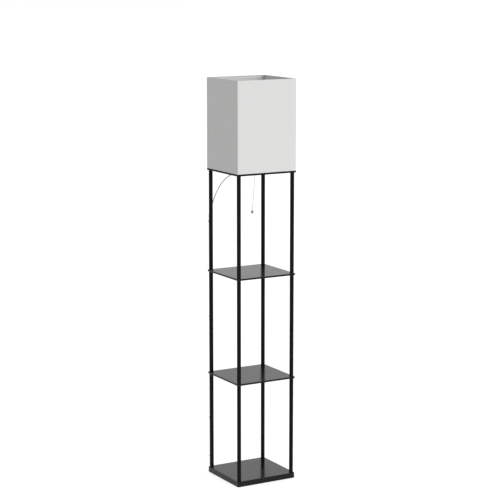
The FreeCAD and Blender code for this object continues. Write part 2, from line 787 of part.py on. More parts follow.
def make_bulb():
    tip = cylinder("bulb_tip", "dims.bulb_contact_radius", "dims.bulb_contact_height", z="levels.bulb_bottom")
    finished(tip, "bulb_contact")
    cap = revolved_body("bulb_screw_cap", [
        ("0", "0"),
        ("dims.bulb_cap_foot_radius", "0"),
        ("dims.bulb_cap_diameter / 2", "dims.bulb_cap_cone"),
        ("dims.bulb_cap_diameter / 2", "dims.bulb_cap_height"),
        ("0", "dims.bulb_cap_height"),
    ])
    place(cap, z="levels.bulb_cap_bottom")
    housing = doc.addObject("Part::Cone", "bulb_body")
    housing.setExpression("Radius1", "dims.bulb_housing_foot_radius")
    housing.setExpression("Radius2", "dims.bulb_housing_top_radius")
    housing.setExpression("Height", "dims.bulb_housing_height")
    finished(place(housing, z="levels.bulb_cap_top"), "bulb_housing")
    outer = doc.addObject("Part::Sphere", "globe_outside")
    outer.setExpression("Radius", "dims.globe_radius")
    outer.setExpression("Angle1", "-acos(dims.bulb_housing_top_radius / dims.globe_radius)")
    inner = doc.addObject("Part::Sphere", "globe_inside")
    inner.setExpression("Radius", "dims.globe_radius - dims.globe_wall")
    rise = "sqrt(dims.globe_radius ^ 2 - dims.bulb_housing_top_radius ^ 2)"
    for ball in (outer, inner):
        place(ball, z="levels.bulb_housing_top + " + rise)
    finished(cut("globe", outer, inner), "bulb_globe")


# ---------------------------------------------------------------------------------------------
# Pull chain
# ---------------------------------------------------------------------------------------------


def bead_string(label, beads):
    """A string of beads that hangs down from its own origin: one bead on its wire, repeated."""
    body = new_body(label)
    sketch = new_sketch(body, "XZ_Plane")
    bead = sketch.addGeometry(Part.ArcOfCircle(Part.Circle(Vector(0, -2, 0), UP, 1.0),
                                               -math.pi / 2, math.pi / 2), False)
    chord = sketch.addGeometry(Part.LineSegment(Vector(0, -1, 0), Vector(0, -3, 0)), False)
    sketch.addConstraint(Sketcher.Constraint("Coincident", bead, 2, chord, 1))
    sketch.addConstraint(Sketcher.Constraint("Coincident", bead, 1, chord, 2))
    sketch.addConstraint(Sketcher.Constraint("PointOnObject", bead, 3, chord))
    index = sketch.addConstraint(Sketcher.Constraint("Radius", bead, 1.0))
    sketch.setExpression("Constraints[%d]" % index, "dims.bead_diameter / 2")
    pin_point(sketch, bead, 3, "0", "-dims.bead_pitch / 2", Vector(0, -2, 0))
    vertical = -2
    sketch.addConstraint(Sketcher.Constraint("PointOnObject", bead, 2, vertical))
    ball = body.newObject("PartDesign::Revolution", "bead")
    ball.Profile = sketch
    ball.ReferenceAxis = (sketch, ["V_Axis"])
    ball.Angle = 360
    body.Tip = ball
    wire = new_sketch(body, offset="-dims.bead_pitch")
    draw_circle(wire, "dims.link_wire_diameter")
    link = add_pad(body, wire, "dims.bead_pitch")
    pattern = body.newObject("PartDesign::LinearPattern", "beads")
    pattern.Originals = [ball, link]
    upright = [item for item in body.Origin.OriginFeatures if item.Role == "Z_Axis"][0]
    pattern.Direction = (upright, [""])
    pattern.Reversed = True
    pattern.setExpression("Occurrences", beads)
    pattern.setExpression("Length", "(%s - 1) * dims.bead_pitch" % beads)
    body.Tip = pattern
    return body


def make_chain_ferrule():
    ferrule = revolved_body("chain_ferrule", [
        ("dims.ferrule_bore / 2", "0"),
        ("dims.ferrule_diameter / 2 + dims.ferrule_rim", "0"),
        ("dims.ferrule_diameter / 2 + dims.ferrule_rim", "dims.ferrule_rim_height / 2"),
        ("dims.ferrule_diameter / 2", "dims.ferrule_rim_height"),
        ("dims.ferrule_diameter / 2", "dims.ferrule_length"),
        ("dims.ferrule_bore / 2", "dims.ferrule_length"),
    ])
    place(ferrule, y="-dims.chain_reach", z="levels.outlet_height")


# The knob's swell from its foot up, as shares of its radius and of its height below the chain.
KNOB_SWELL = [(0.84, 0.95), (1.0, 0.8), (1.0, 0.65), (0.8, 0.4), (0.38, 0.14)]


def make_chain():
    top_link = bead_string("chain_top_link", "dims.top_link_beads")
    place(top_link, y="-dims.chain_reach", z="levels.outlet_height + dims.top_link_beads * dims.bead_pitch")
    coupling = revolved_body("chain_coupling", [
        ("0", "0"),
        ("dims.coupling_diameter / 4", "0"),
        ("dims.coupling_diameter / 2", "dims.coupling_length / 4"),
        ("dims.coupling_diameter / 2", "3 * dims.coupling_length / 4"),
        ("dims.coupling_diameter / 4", "dims.coupling_length"),
        ("0", "dims.coupling_length"),
    ])
    place(coupling, y="-dims.chain_reach", z="levels.coupling_top - dims.coupling_length")
    chain = bead_string("pull_chain", "dims.chain_beads")
    place(chain, y="-dims.chain_reach", z="levels.chain_top")
    turned(chain, Vector(0, 1, 0), "dims.chain_tilt")
    outline = [("0", "-dims.knob_height"), ("dims.knob_foot_diameter / 2", "-dims.knob_height")]
    for radius_share, height_share in KNOB_SWELL:
        outline.append(("%r * dims.knob_diameter / 2" % radius_share,
                        "-%r * dims.knob_height" % height_share))
    outline += [("dims.knob_neck_diameter / 2", "0"), ("0", "0")]
    knob = revolved_body("pull_knob", outline)
    place(knob,
          "-levels.chain_length * sin(dims.chain_tilt)",
          "-dims.chain_reach",
          "levels.chain_top - levels.chain_length * cos(dims.chain_tilt)")
    turned(knob, Vector(0, 1, 0), "dims.chain_tilt")


# ---------------------------------------------------------------------------------------------
# Shade
# ---------------------------------------------------------------------------------------------


def make_shade_panels():
    """Fabric on its backing: the front and rear panels run full width, the side panels between them."""
    half_wall = "dims.shade_thickness / 2"
    for label, side in (("shade_panel_front", "-"), ("shade_panel_rear", "")):
        body = new_body(label)
        sketch = new_sketch(body)
        middle = "%s(levels.shade_half_depth - %s)" % (side, half_wall)
        draw_rectangle(sketch, "levels.shade_half_width", half_wall, y=middle)
        add_pad(body, sketch, "dims.shade_height")
        place(body, z="levels.shade_bottom")
    for label, side in (("shade_panel_left", "-"), ("shade_panel_right", "")):
        body = new_body(label)
        sketch = new_sketch(body)
        middle = "%s(levels.shade_half_width - %s)" % (side, half_wall)
        draw_rectangle(sketch, half_wall, "levels.shade_half_depth - dims.shade_thickness", x=middle)
        add_pad(body, sketch, "dims.shade_height")
        place(body, z="levels.shade_bottom")


def rounded_ring_path(half_x, half_y, corner, z):
    """A closed rectangle of straight edges and quarter arcs, level at z."""
    edges = []
    quarter = math.pi / 2
    for index in range(4):
        angle = index * quarter
        signs = [(1, 1), (-1, 1), (-1, -1), (1, -1)][index]
        centre = Vector(signs[0] * (half_x - corner), signs[1] * (half_y - corner), z)
        spots = []
        for share in (0, 0.5, 1):
            turn = angle + share * quarter
            spots.append(centre + Vector(math.cos(turn), math.sin(turn), 0) * corner)
        if edges:
            edges.append(Part.LineSegment(edges[-1].lastVertex().Point, spots[0]).toShape())
        edges.append(Part.Arc(*spots).toShape())
    start = edges[0].firstVertex().Point
    edges.append(Part.LineSegment(edges[-1].lastVertex().Point, start).toShape())
    return Part.Wire(edges)


def round_tube(path, diameter):
    """A solid round tube along a wire."""
    first = path.Edges[0]
    start = first.valueAt(first.FirstParameter)
    heading = first.tangentAt(first.FirstParameter)
    if first.Orientation == "Reversed":
        start = first.valueAt(first.LastParameter)
        heading = first.tangentAt(first.LastParameter) * -1
    section = Part.Wire([Part.makeCircle(diameter / 2, start, heading)])
    return path.makePipeShell([section], True, False)


def make_shade_wire_frame():
    """A ring at the bottom and one at the top, with an upright welded in each corner."""
    wire = size("shade_wire_diameter")
    inset = size("shade_thickness") + size("shade_wire_clearance") + wire / 2
    corner = size("shade_ring_corner")
    half_x = level("shade_half_width") - inset
    half_y = level("shade_half_depth") - inset
    low = level("shade_bottom") + wire / 2
    high = level("shade_top") - wire / 2 - size("shade_wire_clearance")
    rings = [round_tube(rounded_ring_path(half_x, half_y, corner, z), wire) for z in (low, high)]
    corner_shift = corner * (1 - math.sqrt(0.5))
    uprights = []
    for x in (-half_x + corner_shift, half_x - corner_shift):
        for y in (-half_y + corner_shift, half_y - corner_shift):
            upright = Part.makeCylinder(size("shade_upright_diameter") / 2, high - low, Vector(x, y, low))
            uprights.append(upright)
    frame = doc.addObject("Part::Feature", "wire_frame")
    frame.Shape = rings[0].multiFuse(rings[1:] + uprights)
    finished(frame, "shade_wire_frame")


# ---------------------------------------------------------------------------------------------
# Cord: its route, clips, the hank of put-away length, its tie and the plug
# ---------------------------------------------------------------------------------------------

ARC_SHARE = 0.45


def tangent_path(points):
    """Straight runs joined by tangent arcs, each as large as its two runs allow; prints the radii."""
    edges = []
    radii = []
    start = points[0]
    for before, corner, after in zip(points, points[1:], points[2:]):
        reach = ARC_SHARE * min((corner - before).Length, (after - corner).Length)
        arrive = (corner - before).normalize()
        leave = (after - corner).normalize()
        half_turn = arrive.getAngle(leave) / 2
        radius = reach / math.tan(half_turn)
        inward = (leave - arrive).normalize()
        first = corner - arrive * reach
        last = corner + leave * reach
        middle = corner + inward * (radius / math.cos(half_turn) - radius)
        edges.append(Part.LineSegment(start, first).toShape())
        edges.append(Part.Arc(first, middle, last).toShape())
        radii.append(radius)
        start = last
    edges.append(Part.LineSegment(start, points[-1]).toShape())
    print("cord arc radii, mm:", [round(radius, 1) for radius in radii])
    return Part.Wire(edges)


def report_tube(label, tube, path, diameter):
    expected = math.pi * diameter ** 2 / 4 * path.Length
    print("%s: length %.1f mm, volume %.1f of %.1f" % (label, path.Length, tube.Volume, expected))


CORD_BACK_CLEARANCE = 0.6
CORD_FIRST_RUN = 22.0
CORD_FOOT_REACH = 18.0
CORD_POST_DROP = 172.5
HANK_START_INSET = 42.0

# The slack arc: shares of the way out to behind the post, across and back, with the drop in
# millimetres below the top frame.
CORD_SLACK = [
    (0.464, 0.498, 17.2),
    (0.586, 0.628, 33.3),
    (0.685, 0.734, 52.3),
    (0.761, 0.816, 74.3),
    (0.822, 0.881, 97.7),
    (0.873, 0.933, 123.5),
    (0.937, 0.979, 148.0),
]


def cord_back():
    """How far behind the middle the cord hangs: just clear of the shelves' rear edges."""
    return level("frame_half_depth") + size("cord_diameter") / 2 + CORD_BACK_CLEARANCE


def gland_direction():
    """The way the strain relief points, outwards and down."""
    bearing = math.radians(size("gland_bearing"))
    tilt = math.radians(size("gland_tilt"))
    return Vector(math.cos(bearing) * math.cos(tilt), math.sin(bearing) * math.cos(tilt), -math.sin(tilt))


def gland_exit():
    """The middle of the strain relief's tip, where the cord starts."""
    bearing = math.radians(size("gland_bearing"))
    reach = size("gland_root_reach")
    height = level("holder_seat") + size("gland_height")
    root = Vector(reach * math.cos(bearing), reach * math.sin(bearing), height)
    return root + gland_direction() * size("gland_length")


def hank_start():
    """Where the cord on the floor becomes the hank, a little in from the post."""
    return Vector(HANK_START_INSET - level("half_width"), cord_back(), size("cord_diameter") / 2)


def cord_route():
    """Out of the gland, over in a slack arc, behind the rear left post and down to the floor."""
    post_x = -level("half_width")
    back = cord_back()
    top = level("frame_bottom")
    floor = size("cord_diameter") / 2
    route = [gland_exit(), gland_exit() + gland_direction() * CORD_FIRST_RUN]
    for across, behind, drop in CORD_SLACK:
        route.append(Vector(across * post_x, behind * back, top - drop))
    route.append(Vector(post_x, back, top - CORD_POST_DROP))
    route.append(Vector(post_x, back, floor + CORD_FOOT_REACH))
    route.append(Vector(post_x + CORD_FOOT_REACH, back, floor))
    route.append(hank_start())
    return route


def make_power_cord():
    path = tangent_path(cord_route())
    tube = round_tube(path, size("cord_diameter"))
    report_tube("power_cord", tube, path, size("cord_diameter"))
    cord = doc.addObject("Part::Feature", "cord")
    cord.Shape = tube
    finished(cord, "power_cord")


def s_bend(start, end, heading):
    """Two equal arcs from start to end that leave and arrive along heading."""
    middle = (start + end) * 0.5
    edges = []
    for first, last, tangent in ((start, middle, heading), (middle, end, heading * -1)):
        near, far = (first, last) if tangent is heading else (last, first)
        chord = far - near
        angle = tangent.getAngle(chord)
        along = Vector(chord).normalize()
        side = (tangent - along * tangent.dot(along)).normalize()
        top = (near + far) * 0.5 + side * (chord.Length / 2 * math.tan(angle / 2))
        edges.append(Part.Arc(first, top, last).toShape())
    return edges


HANK_LEAD = 26.0
HANK_RUN_DIAMETERS = 15
HANK_FOLD_DIAMETERS = 3
HANK_GAP = 0.6
HANK_OVER_REACH = 3.0
HANK_EASE = 25.0


def hank_spots():
    """Places that the hank, its tie and the plug share."""
    diameter = size("cord_diameter")
    start = hank_start()
    fold_radius = HANK_FOLD_DIAMETERS * diameter
    run = HANK_RUN_DIAMETERS * diameter
    near = start.y
    far = near + 2 * fold_radius
    draw_in = fold_radius - (diameter + HANK_GAP) / 2
    lower = diameter / 2
    upper = lower + diameter + HANK_GAP
    left_x = start.x + HANK_LEAD
    over_x = left_x + run + fold_radius + diameter / 2 + HANK_OVER_REACH
    return {
        "near": near,
        "far": far,
        "fold_radius": fold_radius,
        "lower": lower,
        "upper": upper,
        "lift": size("tie_thickness") + size("tie_clearance"),
        "left_x": left_x,
        "right_x": left_x + run,
        "waist_x": left_x + run / 2,
        "waist_near": near + draw_in,
        "waist_far": far - draw_in,
        "climb": (lower + upper) / 2,
        "over_x": over_x,
        "entry_x": over_x + HANK_EASE,
        "plug_x": over_x + HANK_EASE + diameter,
    }


def fold(x, near, far, height, reach):
    """A half turn between the two sides of the hank."""
    middle = Vector(x + reach, (near + far) / 2, height)
    return Part.Arc(Vector(x, near, height), middle, Vector(x, far, height)).toShape()


def hank_path():
    """One and a half loops: along the floor, round, back with a climb, round again and out on top."""
    spot = hank_spots()
    forward = Vector(1, 0, 0)
    left_x, right_x, fold_radius = spot["left_x"], spot["right_x"], spot["fold_radius"]
    near, far, lower, upper = spot["near"], spot["far"], spot["lower"], spot["upper"]
    left_low = Vector(left_x, near, lower)
    waist_low = Vector(spot["waist_x"], spot["waist_near"], lower + spot["lift"])
    right_low = Vector(right_x, near, lower)
    right_far = Vector(right_x, far, lower)
    waist_far = Vector(spot["waist_x"], spot["waist_far"], spot["climb"])
    left_far = Vector(left_x, far, upper)
    left_high = Vector(left_x, near, upper)
    waist_high = Vector(spot["waist_x"], spot["waist_near"], upper + spot["lift"])
    over = Vector(spot["over_x"], spot["waist_near"], upper + spot["lift"])
    entry = Vector(spot["entry_x"], spot["waist_near"], size("plug_thickness") / 2)
    end = Vector(spot["plug_x"], spot["waist_near"], size("plug_thickness") / 2)
    edges = [Part.LineSegment(hank_start(), left_low).toShape()]
    edges += s_bend(left_low, waist_low, forward)
    edges += s_bend(waist_low, right_low, forward)
    edges.append(fold(right_x, near, far, lower, fold_radius))
    edges += s_bend(right_far, waist_far, forward * -1)
    edges += s_bend(waist_far, left_far, forward * -1)
    edges.append(fold(left_x, far, near, upper, -fold_radius))
    edges += s_bend(left_high, waist_high, forward)
    edges.append(Part.LineSegment(waist_high, over).toShape())
    edges += s_bend(over, entry, forward)
    edges.append(Part.LineSegment(entry, end).toShape())
    return Part.Wire(edges)


def least_gap(path, diameter, near_length):
    """The least clear gap of a tube to itself, from points a millimetre apart along its path."""
    points = path.discretize(Number=int(path.Length))
    closest = None
    for index, point in enumerate(points):
        for other in points[index + int(near_length):]:
            distance = (other - point).Length
            if closest is None or distance < closest:
                closest = distance
    return closest - diameter


def make_cord_hank():
    diameter = size("cord_diameter")
    path = hank_path()
    tube = round_tube(path, diameter)
    report_tube("cord_hank", tube, path, diameter)
    print("cord_hank: least gap to itself %.2f mm" % least_gap(path, diameter, 4 * diameter))
    hank = doc.addObject("Part::Feature", "hank")
    hank.Shape = tube
    finished(hank, "cord_hank")


def make_hank_tie():
    """A flat band round the hank's waist."""
    spot = hank_spots()
    radius = size("cord_diameter") / 2
    gap = size("tie_clearance")
    band = size("tie_thickness")
    y_low = spot["waist_near"] - radius - gap
    y_high = spot["waist_far"] + radius + gap
    z_low = spot["lower"] + spot["lift"] - radius - gap
    z_high = spot["upper"] + spot["lift"] + radius + gap
    x_low = spot["waist_x"] - size("tie_width") / 2
    inside = Part.makeBox(size("tie_width"), y_high - y_low, z_high - z_low, Vector(x_low, y_low, z_low))
    outside = Part.makeBox(size("tie_width"), y_high - y_low + 2 * band, z_high - z_low + 2 * band,
                           Vector(x_low, y_low - band, z_low - band))
    tie = doc.addObject("Part::Feature", "tie")
    tie.Shape = outside.cut(inside)
    finished(tie, "hank_tie")


CLIP_PLACES = [
    ("upper", "levels.frame_bottom - 210"),
    ("middle", "levels.upper_shelf_bottom - 190"),
    ("lower", "levels.lower_shelf_bottom - 190"),
    ("foot", "levels.base_top + 40"),
]


def make_cord_clips():
    """Stick-on clips on the back of the rear left post, each with a ring round the cord."""
    clips = []
    back = "%r" % cord_back()
    post_x = "-levels.half_width"
    ring_radius = "dims.cord_diameter / 2 + dims.clip_clearance + dims.clip_wall"
    for name, height in CLIP_PLACES:
        ring = cylinder("clip_ring_" + name, ring_radius, "dims.clip_height", post_x, back, height)
        foot = doc.addObject("Part::Box", "clip_foot_" + name)
        foot.setExpression("Length", "dims.clip_pad_width")
        foot.setExpression("Width", "%s - levels.half_depth" % back)
        foot.setExpression("Height", "dims.clip_height")
        place(foot, post_x + " - dims.clip_pad_width / 2", "levels.half_depth", height)
        post = cylinder("clip_post_" + name, "dims.post_diameter / 2 + dims.clip_clearance",
                        "dims.clip_height", post_x, "levels.half_depth", height)
        hole = cylinder("clip_hole_" + name, "dims.cord_diameter / 2 + dims.clip_clearance",
                        "dims.clip_height", post_x, back, height)
        solid = fuse("clip_solid_" + name, ring, foot)
        clips.append(cut("clip_" + name, solid, fuse("clip_hollow_" + name, post, hole)))
    finished(fuse("clips", *clips), "cord_clips")


def make_plug():
    """A flat two-blade plug that lies on the floor, with its strain relief towards the hank."""
    depth = "%r" % hank_spots()["waist_near"]
    start = "%r" % hank_spots()["plug_x"]
    relief = doc.addObject("Part::Cone", "plug_relief")
    relief.setExpression("Radius1", "dims.relief_tip_radius")
    relief.setExpression("Radius2", "dims.relief_root_radius")
    relief.setExpression("Height", "dims.relief_length")
    place(relief, start, depth, "dims.plug_thickness / 2")
    turned(relief, Vector(0, 1, 0), "90")
    block = doc.addObject("Part::Box", "plug_block")
    block.setExpression("Length", "dims.plug_length")
    block.setExpression("Width", "dims.plug_width")
    block.setExpression("Height", "dims.plug_thickness")
    body_x = start + " + dims.relief_length"
    place(block, body_x, depth + " - dims.plug_width / 2")
    rounded = doc.addObject("Part::Fillet", "plug_rounded")
    rounded.Base = block
    doc.recompute()
    along = []
    for index, edge in enumerate(block.Shape.Edges, 1):
        if edge.BoundBox.XLength > 1e-6:
            along.append((index, size("plug_round"), size("plug_round")))
    rounded.Edges = along
    finished(fuse("plug", relief, rounded), "plug_body")
    blades = []
    for name, side in (("near", "-"), ("far", "+")):
        blade = doc.addObject("Part::Box", "blade_" + name)
        blade.setExpression("Length", "dims.blade_length")
        blade.setExpression("Width", "dims.blade_thickness")
        blade.setExpression("Height", "dims.blade_width")
        place(blade, body_x + " + dims.plug_length",
              "%s %s dims.blade_spacing / 2 - dims.blade_thickness / 2" % (depth, side),
              "(dims.plug_thickness - dims.blade_width) / 2")
        blades.append(blade)
    finished(fuse("blades", *blades), "plug_blades")


# ---------------------------------------------------------------------------------------------
# Build, check and write
# ---------------------------------------------------------------------------------------------


def check_document():
    """Stop if anything in the document failed, or if a pocket took nothing away."""
    for item in doc.Objects:
        if "Invalid" in item.State or "Error" in item.State:
            raise RuntimeError("%s is in state %s" % (item.Name, item.State))
        if item.TypeId == "PartDesign::Pocket":
            before = item.BaseFeature.Shape.Volume
            if item.Shape.Volume > before - 1e-3:
                raise RuntimeError("%s in %s takes nothing away" % (item.Name, item.getParent().Label))


def write_parts():
    os.makedirs("parts", exist_ok=True)
    for item in parts:
        shape = item.Shape
        if shape.isNull() or not shape.isValid() or not shape.Solids:
            raise RuntimeError("%s has no valid solid" % item.Label)
        shape.exportStep(os.path.join("parts", item.Label + ".step"))
    print("wrote %d parts, %d solids" % (len(parts), sum(len(item.Shape.Solids) for item in parts)))


make_base_cover()
make_base_weight()
make_base_bottom_plate()
make_rubber_feet()
make_base_bolts()
make_posts()
make_post_bushes()
make_shelf("lower_shelf", "levels.lower_shelf_bottom")
make_shelf("upper_shelf", "levels.upper_shelf_bottom")
make_shelf_studs()
make_long_bar("top_frame_front_bar", "-")
make_long_bar("top_frame_rear_bar", "")
make_side_bar("top_frame_left_bar", "-")
make_side_bar("top_frame_right_bar", "")
make_holder_crossbar()
make_cap_screws()
make_holder_nipple()
make_nipple_nut()
make_holder_cap()
make_cord_gland()
make_switch_housing()
make_switch_cover()
make_drum_axle()
make_ratchet_drum()
make_return_spring()
make_socket()
make_bulb()
make_chain_ferrule()
make_chain()
make_shade_panels()
make_shade_wire_frame()
make_power_cord()
make_cord_hank()
make_hank_tie()
make_cord_clips()
make_plug()
doc.recompute()
check_document()
write_parts()
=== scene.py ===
import json
import math

import bmesh
import bpy
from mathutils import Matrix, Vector


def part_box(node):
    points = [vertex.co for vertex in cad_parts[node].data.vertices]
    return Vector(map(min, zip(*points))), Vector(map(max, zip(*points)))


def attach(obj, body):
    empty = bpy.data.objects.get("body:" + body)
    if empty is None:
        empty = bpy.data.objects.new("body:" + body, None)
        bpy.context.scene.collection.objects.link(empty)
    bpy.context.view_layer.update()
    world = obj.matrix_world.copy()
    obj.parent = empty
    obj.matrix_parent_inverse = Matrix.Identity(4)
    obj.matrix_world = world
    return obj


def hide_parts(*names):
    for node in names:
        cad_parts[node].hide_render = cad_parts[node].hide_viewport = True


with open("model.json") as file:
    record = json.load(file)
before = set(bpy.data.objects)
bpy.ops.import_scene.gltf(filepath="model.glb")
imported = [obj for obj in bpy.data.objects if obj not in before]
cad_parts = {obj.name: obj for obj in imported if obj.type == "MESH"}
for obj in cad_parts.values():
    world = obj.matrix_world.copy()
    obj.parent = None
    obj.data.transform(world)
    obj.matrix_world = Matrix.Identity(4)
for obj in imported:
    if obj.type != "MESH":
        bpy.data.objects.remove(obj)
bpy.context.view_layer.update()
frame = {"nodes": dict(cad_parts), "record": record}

# Shelf floor lamp, dressed. Metres, Z up, the front is -Y.

NODES = frame["nodes"]
MM = 0.001
SCENE = bpy.context.scene

# Where the photograph was taken from, solved from the corners of the shelves and the posts.
CAMERA_PLACE = (-3.280854, -5.690054, 2.071334)
CAMERA_YAW = -29.92548  # degrees, round to the left of the front
CAMERA_PITCH = 9.90182  # degrees, looking down
LENS = 121.177  # mm, on a sensor 36 mm wide
SENSOR_WIDTH = 36.0

WORLD_LEVEL = 0.505
KEY_LEVEL = 2.0
KEY_SPREAD = 50  # degrees across, so its shadows are soft
TOWARD_KEY = (0.35, -0.93, 0.12)
FLOOR_COLOUR = 0.72
FLOOR_LIFT = 0.7  # what the floor glows by, as the camera sees it
FLOOR_REACH = 60.0
FLOOR_DROP = 0.0002  # the floor lies this far under the pads
FAR_CLIP = 200.0


# ------------------------------------------------------------------------------------------
# Camera, studio and light
# ------------------------------------------------------------------------------------------


def make_camera():
    """A long lens, some 30 degrees round to the left of the front and looking 10 degrees down."""
    data = bpy.data.cameras.new("camera")
    data.sensor_width = SENSOR_WIDTH
    data.lens = LENS
    data.clip_end = FAR_CLIP
    camera = bpy.data.objects.new("camera", data)
    SCENE.collection.objects.link(camera)
    camera.rotation_euler = (math.radians(90 - CAMERA_PITCH), 0, math.radians(CAMERA_YAW))
    camera.location = CAMERA_PLACE
    SCENE.camera = camera


def make_world():
    """Even soft light; the camera, metal and glass see it as white."""
    world = bpy.data.worlds.new("studio")
    SCENE.world = world
    world.use_nodes = True
    tree = world.node_tree
    tree.nodes.clear()
    out = tree.nodes.new("ShaderNodeOutputWorld")
    mix = tree.nodes.new("ShaderNodeMixShader")
    soft = tree.nodes.new("ShaderNodeBackground")
    soft.inputs["Strength"].default_value = WORLD_LEVEL
    white = tree.nodes.new("ShaderNodeBackground")
    for node in (soft, white):
        node.inputs["Color"].default_value = (1, 1, 1, 1)
    seen = seen_directly(tree)
    tree.links.new(seen, mix.inputs[0])
    tree.links.new(soft.outputs[0], mix.inputs[1])
    tree.links.new(white.outputs[0], mix.inputs[2])
    tree.links.new(mix.outputs[0], out.inputs[0])


def seen_directly(tree):
    """1 for camera, glossy and transmission rays."""
    path = tree.nodes.new("ShaderNodeLightPath")
    first = tree.nodes.new("ShaderNodeMath")
    first.operation = "MAXIMUM"
    second = tree.nodes.new("ShaderNodeMath")
    second.operation = "MAXIMUM"
    tree.links.new(path.outputs["Is Camera Ray"], first.inputs[0])
    tree.links.new(path.outputs["Is Glossy Ray"], first.inputs[1])
    tree.links.new(first.outputs[0], second.inputs[0])
    tree.links.new(path.outputs["Is Transmission Ray"], second.inputs[1])
    return second.outputs[0]


def make_floor():
    """A white floor that keeps the object's shadow."""
    mesh = bpy.data.meshes.new("floor")
    reach = FLOOR_REACH
    corners = [(-reach, -reach), (reach, -reach), (reach, reach), (-reach, reach)]
    mesh.from_pydata([(x, y, -FLOOR_DROP) for x, y in corners], [], [(0, 1, 2, 3)])
    floor = bpy.data.objects.new("floor", mesh)
    SCENE.collection.objects.link(floor)
    paint = bpy.data.materials.new("floor_white")
    paint.use_nodes = True
    tree = paint.node_tree
    tree.nodes.clear()
    out = tree.nodes.new("ShaderNodeOutputMaterial")
    plain = tree.nodes.new("ShaderNodeBsdfDiffuse")
    plain.inputs["Color"].default_value = (FLOOR_COLOUR, FLOOR_COLOUR, FLOOR_COLOUR, 1)
    glow = tree.nodes.new("ShaderNodeEmission")
    add = tree.nodes.new("ShaderNodeAddShader")
    scale = tree.nodes.new("ShaderNodeMath")
    scale.operation = "MULTIPLY"
    scale.inputs[1].default_value = FLOOR_LIFT
    tree.links.new(seen_directly(tree), scale.inputs[0])
    tree.links.new(scale.outputs[0], glow.inputs["Strength"])
    tree.links.new(plain.outputs[0], add.inputs[0])
    tree.links.new(glow.outputs[0], add.inputs[1])
    tree.links.new(add.outputs[0], out.inputs["Surface"])
    mesh.materials.append(paint)


def make_key_light():
    """One broad soft light from the front right, nearly level, that no surface mirrors."""
    data = bpy.data.lights.new("key", "SUN")
    data.energy = KEY_LEVEL
    data.angle = math.radians(KEY_SPREAD)
    key = bpy.data.objects.new("key", data)
    SCENE.collection.objects.link(key)
    key.rotation_euler = Vector(TOWARD_KEY).to_track_quat("Z", "Y").to_euler()
    key.visible_glossy = False


SCENE.view_settings.view_transform = "Standard"
make_camera()
make_world()
make_floor()
make_key_light()


# ------------------------------------------------------------------------------------------
# Materials
# ------------------------------------------------------------------------------------------


class Surface:
    """A node material, built up from a Principled shader."""

    def __init__(self, name, **fixed):
        self.material = bpy.data.materials.new(name)
        self.material.use_nodes = True
        self.tree = self.material.node_tree
        self.shader = self.tree.nodes["Principled BSDF"]
        for socket, value in fixed.items():
            self.shader.inputs[socket.replace("_", " ")].default_value = value
        self.where = self.tree.nodes.new("ShaderNodeTexCoord")
        self.place = self.where.outputs["Object"]

    def link(self, source, target):
        self.tree.links.new(source, target)

    def feed(self, socket, value):
        if isinstance(value, (int, float)):
            socket.default_value = value
        else:
            self.link(value, socket)

    def math(self, operation, first, second=0.0):
        node = self.tree.nodes.new("ShaderNodeMath")
        node.operation = operation
        self.feed(node.inputs[0], first)
        self.feed(node.inputs[1], second)
        return node.outputs[0]

    def split(self, vector):
        node = self.tree.nodes.new("ShaderNodeSeparateXYZ")
        self.link(vector, node.inputs[0])
        return node.outputs

    def join(self, x, y, z):
        node = self.tree.nodes.new("ShaderNodeCombineXYZ")
        for socket, value in zip(node.inputs, (x, y, z)):
            self.feed(socket, value)
        return node.outputs[0]

    def stretched(self, x, y, z):
        node = self.tree.nodes.new("ShaderNodeMapping")
        node.inputs["Scale"].default_value = (x, y, z)
        self.link(self.place, node.inputs["Vector"])
        return node.outputs[0]

    def noise(self, scale, detail=2.0, vector=None, roughness=0.5):
        node = self.tree.nodes.new("ShaderNodeTexNoise")
        node.inputs["Scale"].default_value = scale
        node.inputs["Detail"].default_value = detail
        node.inputs["Roughness"].default_value = roughness
        self.link(vector or self.place, node.inputs["Vector"])
        return node.outputs["Fac"]

    def between(self, value, low, high, from_low=0.3, from_high=0.7):
        node = self.tree.nodes.new("ShaderNodeMapRange")
        node.inputs["From Min"].default_value = from_low
        node.inputs["From Max"].default_value = from_high
        node.inputs["To Min"].default_value = low
        node.inputs["To Max"].default_value = high
        self.link(value, node.inputs["Value"])
        return node.outputs["Result"]

    def colour(self, factor, low, high):
        node = self.tree.nodes.new("ShaderNodeMix")
        node.data_type = "RGBA"
        node.inputs[6].default_value = (*low, 1)
        node.inputs[7].default_value = (*high, 1)
        self.link(factor, node.inputs[0])
        self.link(node.outputs[2], self.shader.inputs["Base Color"])
        return node.outputs[2]

    def roughness(self, value):
        self.link(value, self.shader.inputs["Roughness"])

    def bump(self, height, depth, strength=1.0):
        node = self.tree.nodes.new("ShaderNodeBump")
        node.inputs["Distance"].default_value = depth
        node.inputs["Strength"].default_value = strength
        self.link(height, node.inputs["Height"])
        if self.shader.inputs["Normal"].links:
            self.link(self.shader.inputs["Normal"].links[0].from_socket, node.inputs["Normal"])
        self.link(node.outputs[0], self.shader.inputs["Normal"])


def powder_coat(name, ior, rough, depth):
    """Black powder coat: a fine orange peel and a faint change of gloss."""
    paint = Surface(name, IOR=ior, Metallic=0.0)
    paint.colour(paint.between(paint.noise(40, 3), 0, 1), (0.004, 0.004, 0.0043), (0.0075, 0.0075, 0.008))
    paint.roughness(paint.between(paint.noise(14, 3), *rough))
    paint.bump(paint.noise(900, 2), depth, 0.5)
    return paint.material


